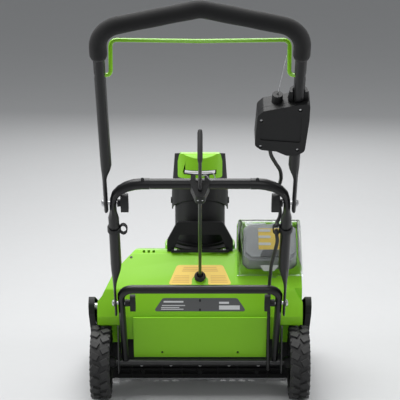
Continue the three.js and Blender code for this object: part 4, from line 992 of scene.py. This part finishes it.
# %% Deck plate, rear plate and battery plate
_, deck_normal = on_surface("main_housing", at(-66, 48, 600), Vector((0, 0, -1)))
deck_origin, _ = on_surface("main_housing", at(-66, 27, 600), Vector((0, 0, -1)))
deck_origin.x = 0
deck_plate = plate("deck_plate", deck_origin, deck_normal,
                   [(-77, -2, 5), (-20, -2, 3), (-20, 14, 8), (-12, 26, 10), (12, 26, 10), (20, 14, 8),
                    (20, -2, 3), (77, -2, 5), (56, 55, 9), (-56, 55, 9)], AMBER)
seat(deck_plate, "machine", "green_plastic")
RULE = {"low": 0.2, "high": 0.62, "lip": 0.05}
ruled = []
for left in (-1, 1):
    for row in range(5):
        near, far = left * 26, left * (68 - row * 1.6)
        foot, head = 4 + row * 4.6, 6 + row * 4.6
        line = [(near, foot, 0), (far, foot, 0), (far, head, 0), (near, head, 0)][::left]
        ruled.append(plate("rule", deck_origin, deck_normal, line, AMBER_INK, **RULE))
for row in range(3):
    reach = 44 - row * 2
    foot, head = 36 + row * 5, 38.4 + row * 5
    line = [(-reach, foot, 0), (reach, foot, 0), (reach, head, 0), (-reach, head, 0)]
    ruled.append(plate("rule", deck_origin, deck_normal, line, AMBER_INK, **RULE))
seat(joined("deck_plate_rules", ruled, AMBER_INK), "machine", "green_plastic")

rear_origin, rear_normal = on_surface("main_housing", at(-100, -600, 219), Vector((0, 1, 0)))
rear_origin.x = 0
rear_plate = plate("rear_plate", rear_origin, rear_normal,
                   [(-112, 1, 4), (112, 1, 4), (90, 33, 9), (-90, 33, 9)], SLATE)
seat(rear_plate, "machine", "green_plastic")
panels = [
    plate("panel", rear_origin, rear_normal, [(a, b, 0), (c, b, 0), (c, d, 0), (a, d, 0)], PALE_INK, **RULE)
    for a, b, c, d in [(46, 5, 96, 15), (46, 19, 70, 24), (-88, 22, -40, 26), (-92, 14, -36, 16),
                       (-94, 9, -50, 11), (-94, 5, -40, 7)]
]
seat(joined("rear_plate_panels", panels, PALE_INK), "machine", "green_plastic")

pack_face, pack_normal = in_bay(0, 0, 0), (in_bay(0, 0, 10) - in_bay(0, 0, 0))
battery_plate = plate("battery_plate", pack_face, pack_normal,
                      [(-28, -26, 2), (30, -26, 2), (30, 34, 2), (-28, 34, 2)], AMBER)
seat(battery_plate, "machine", "battery_grey")
charge_bars = [
    plate("bar", pack_face, pack_normal, [(-28, v, 2.5), (2, v, 2.5), (2, v + 7, 2.5), (-28, v + 7, 2.5)],
          PALE_INK, low=0.2, high=1.2, lip=0.3)
    for v in (-14, 6, 24)
]
seat(joined("battery_charge_bars", charge_bars, PALE_INK), "machine", "battery_grey")
latch = plate("battery_latch", pack_face, pack_normal,
              [(-26, -46, 3), (30, -46, 3), (22, -27, 6), (-18, -27, 6)], SLATE, low=-2.0, high=1.2, lip=0.5)
seat(latch, "machine", "battery_grey")
# Two small black bars, 4.4 mm wide and 6 mm tall, on the rear plate's centre line.
centre_bars = [
    plate("slot", rear_origin, rear_normal,
          [(-2.2, b, 0.8), (2.2, b, 0.8), (2.2, b + 6, 0.8), (-2.2, b + 6, 0.8)],
          FINISH["black_plastic"], low=0.2, high=0.7, lip=0.05)
    for b in (1.6, 24)
]
seat(joined("rear_plate_black_bars", centre_bars, FINISH["black_plastic"]), "machine", "black_plastic")
# A pale grey trapezoid plate on the lid's rear face.
trapezoid_place, trapezoid_normal = on_surface("battery_lid", at(167, -400, 320), Vector((0, 1, 0)))
pale_lid_trapezoid = plate("lid_pale_trapezoid", trapezoid_place, trapezoid_normal,
                [(-13, -9, 2), (13, -9, 2), (23, 8, 2), (-23, 8, 2)], PALE_INK, high=1.6, lip=0.6)
seat(pale_lid_trapezoid, "bay_lid", "battery_grey")
print("lid trapezoid sits at", tuple(round(c, 3) for c in trapezoid_place), tuple(round(c, 2) for c in trapezoid_normal))
print("plates sit at", tuple(round(c, 3) for c in deck_origin), tuple(round(c, 3) for c in rear_origin))

# %% [markdown]
# ## The bay's foot
# The battery bay is one moulding with the hood. Its outer wall runs down to the falling shoulder, and a
# fillet closes the valley where its inner wall meets the deck. Prisms cut from a side view and a front
# view make them, as the mould's own inserts are cut. They end inside the hood's wall, so no edge floats.

# %% Bay foot and valley fillet
wall = prism("wall", [(18.5, 250), (18.5, 214), (96, 214.5), (190, 187.2), (210.4, 181), (210.6, 333.5),
                      (203, 333.5), (181, 262), (25, 262)], 237.5, 246.9, FINISH["green_plastic"])
front = prism("front", [(150, 333.5), (152, 312), (170, 292.5), (198, 267), (210, 252.6), (225, 219.4),
                        (240, 189.2), (246.9, 180.6), (246.9, 333.5)], 206.5, 210.5, FINISH["green_plastic"],
              side_view=False)
bay_foot = joined("bay_foot", [wall, front], FINISH["green_plastic"])
seat(bay_foot, "machine", "green_plastic")
fillet = prism("bay_valley_fillet",
               [(27.5, 266), (27.5, 280.8), (95, 336.4), (113, 340.4), (113, 322), (95, 318)], 85.2, 92.8,
               FINISH["green_plastic"])
seat(fillet, "machine", "green_plastic")
print("bay foot", len(bay_foot.data.polygons), "faces, fillet", len(fillet.data.polygons), "faces")

# %% [markdown]
# ## Screws
# Pan-head screws with a cross recess hold the hood, the bracket, the switch box and the scoop. Each body
# has one object: a cloud of seats, each with a "facing" direction, and the tree sets a screw on every
# seat. The head is a cone with the cross cut from it once, before it is copied, which costs far less than
# cutting every copy.

# %% Seats and screws
def screws(name, body, seats, radius=3.6, height=1.8, recess=1.1, finish="bright_steel"):
    """seats: (node, start, direction) lines that mark where a screw goes."""
    places, facings = [], []
    for node, start, direction in seats:
        place, normal = on_surface(node, start, direction)
        if place is None:
            print("no seat for", name, node, tuple(round(c, 3) for c in start))
            continue
        places.append(place + normal * height * MM * 0.02)
        facings.append(normal)
    mesh = bpy.data.meshes.new(name)
    mesh.from_pydata([tuple(p) for p in places], [], [])
    facing = mesh.attributes.new("facing", "FLOAT_VECTOR", "POINT")
    facing.data.foreach_set("vector", [c for n in facings for c in n])
    cloud = bpy.data.objects.new(name, mesh)
    scene.collection.objects.link(cloud)
    grown(cloud, SEAT_TREE, FINISH[finish], Head_radius=radius * MM, Head_height=height * MM,
          Recess_width=recess * MM)
    seat(cloud, body, finish)
    print(name, len(places), "screws")
    return cloud


BACK = Vector((0, 1, 0))
DOWN = Vector((0, 0, -1))
cover_in = on_handle(0, 10, 0) - on_handle(0, 0, 0)
screws("scoop_back_screws", "machine",
       [("auger_housing", at(x, -400, 44), BACK) for x in (-146, -73, 0, 73, 146)], radius=4.2, height=2.2)
screws("switch_box_screws", "top_handle",
       [("switch_box_cover", in_box(x, -60, s), cover_in)
        for x, s in ((-44, 30), (36, 58), (-44, -40), (34, -50))],
       radius=3.2, height=1.6, recess=1.0)
screws("bracket_screws", "machine",
       [("chute_bracket", at(x, y, 420), DOWN) for x, y in ((-60, 95), (60, 95))], radius=4, height=2.2)
screws("cross_tube_screws", "mid_handle",
       [(node, on_handle(x, 0, 620), on_handle(0, 0, 0) - on_handle(0, 0, 10))
        for node, x in (("left_mid_tube", -124.8), ("right_mid_tube", 124.8))],
       radius=4, height=2.4, finish="black_steel")
screws("crank_bracket_screws", "mid_handle",
       [("crank_bracket", on_crank(x, -80, 0), on_crank(0, 10, 0) - on_crank(0, 0, 0)) for x in (-5, 5.4)],
       radius=1.9, height=1.2, recess=0.6)
screws("hood_screws", "machine",
       [("main_housing", at(x, y, 700), DOWN)
        for x, y in ((-168.7, 87), (-205, 235), (205, 235), (-205, 130))],
       radius=3.4, height=1.6, recess=1.0, finish="black_steel")
screws("side_cover_screws", "machine",
       [(f"{side}_side_cover", at(sign * 400, y, z), Vector((-sign, 0, 0)))
        for side, sign in (("left", -1), ("right", 1)) for y, z in ((150, 60), (150, 190), (290, 60))],
       radius=4.4, height=2.4)

# %% [markdown]
# ## Ribs and teeth of the scoop's back
# The lower back of the scoop shows a lattice of thin ribs under the axle, and the scraper's edge is
# serrated. Ribs and teeth are rows, so the line tree makes each from one small block.

# %% Ribs, bosses and teeth
housing_low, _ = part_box("auger_housing")
rib_face = on_surface("auger_housing", at(20, -400, 25), BACK)[0].y / MM - AXLE_Y / MM


def row_of(name, size, first, step, count, finish, bevel=0.3):
    seed = brick(size, first, FINISH[finish], name=name, bevel=bevel)
    return grown(seed, LINE_TREE, FINISH[finish], Count=count, Step=tuple(Vector(step) * MM))


ribs = [
    row_of("upright_rib", (2.0, 3.2, 20), at(-210, rib_face - 1.4, 25.5), (30, 0, 0), 15, "black_plastic"),
    row_of("level_rib", (424, 3.2, 2.0), at(0, rib_face - 1.4, 17.6), (0, 0, 8.7), 2, "black_plastic"),
]
seat(joined("scoop_back_ribs", ribs, FINISH["black_plastic"]), "machine", "black_plastic")
bosses = []
for x in (-146.4, 0, 146.4):
    ring = [(3.4, -0.6), (6.4, -0.6), (6.4, 3.6), (5.6, 4.4), (4.0, 4.4), (3.4, 3.8)]
    points, faces = lathe(ring, 28, at(x, rib_face, 22.5), Vector((0, -1, 0)))
    bosses.append(mesh_piece("boss", points, faces, FINISH["black_plastic"]))
seat(joined("scoop_back_bosses", bosses, FINISH["black_plastic"]), "machine", "black_plastic")
scraper_low, scraper_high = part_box("scraper_bar")
tooth_count = 84
tooth_step = (scraper_high.x - scraper_low.x - 0.02) / MM / tooth_count
teeth = row_of("scraper_teeth", (tooth_step * 0.55, 2.2, 3.4),
               Vector((scraper_low.x + 0.012, scraper_low.y + 0.0006, scraper_low.z + 0.0042)),
               (tooth_step, 0, 0), tooth_count, "bright_steel", bevel=0.2)
seat(teeth, "machine", "bright_steel")
print("ribs at y", round(rib_face, 1), "teeth every", round(tooth_step, 2), "mm")
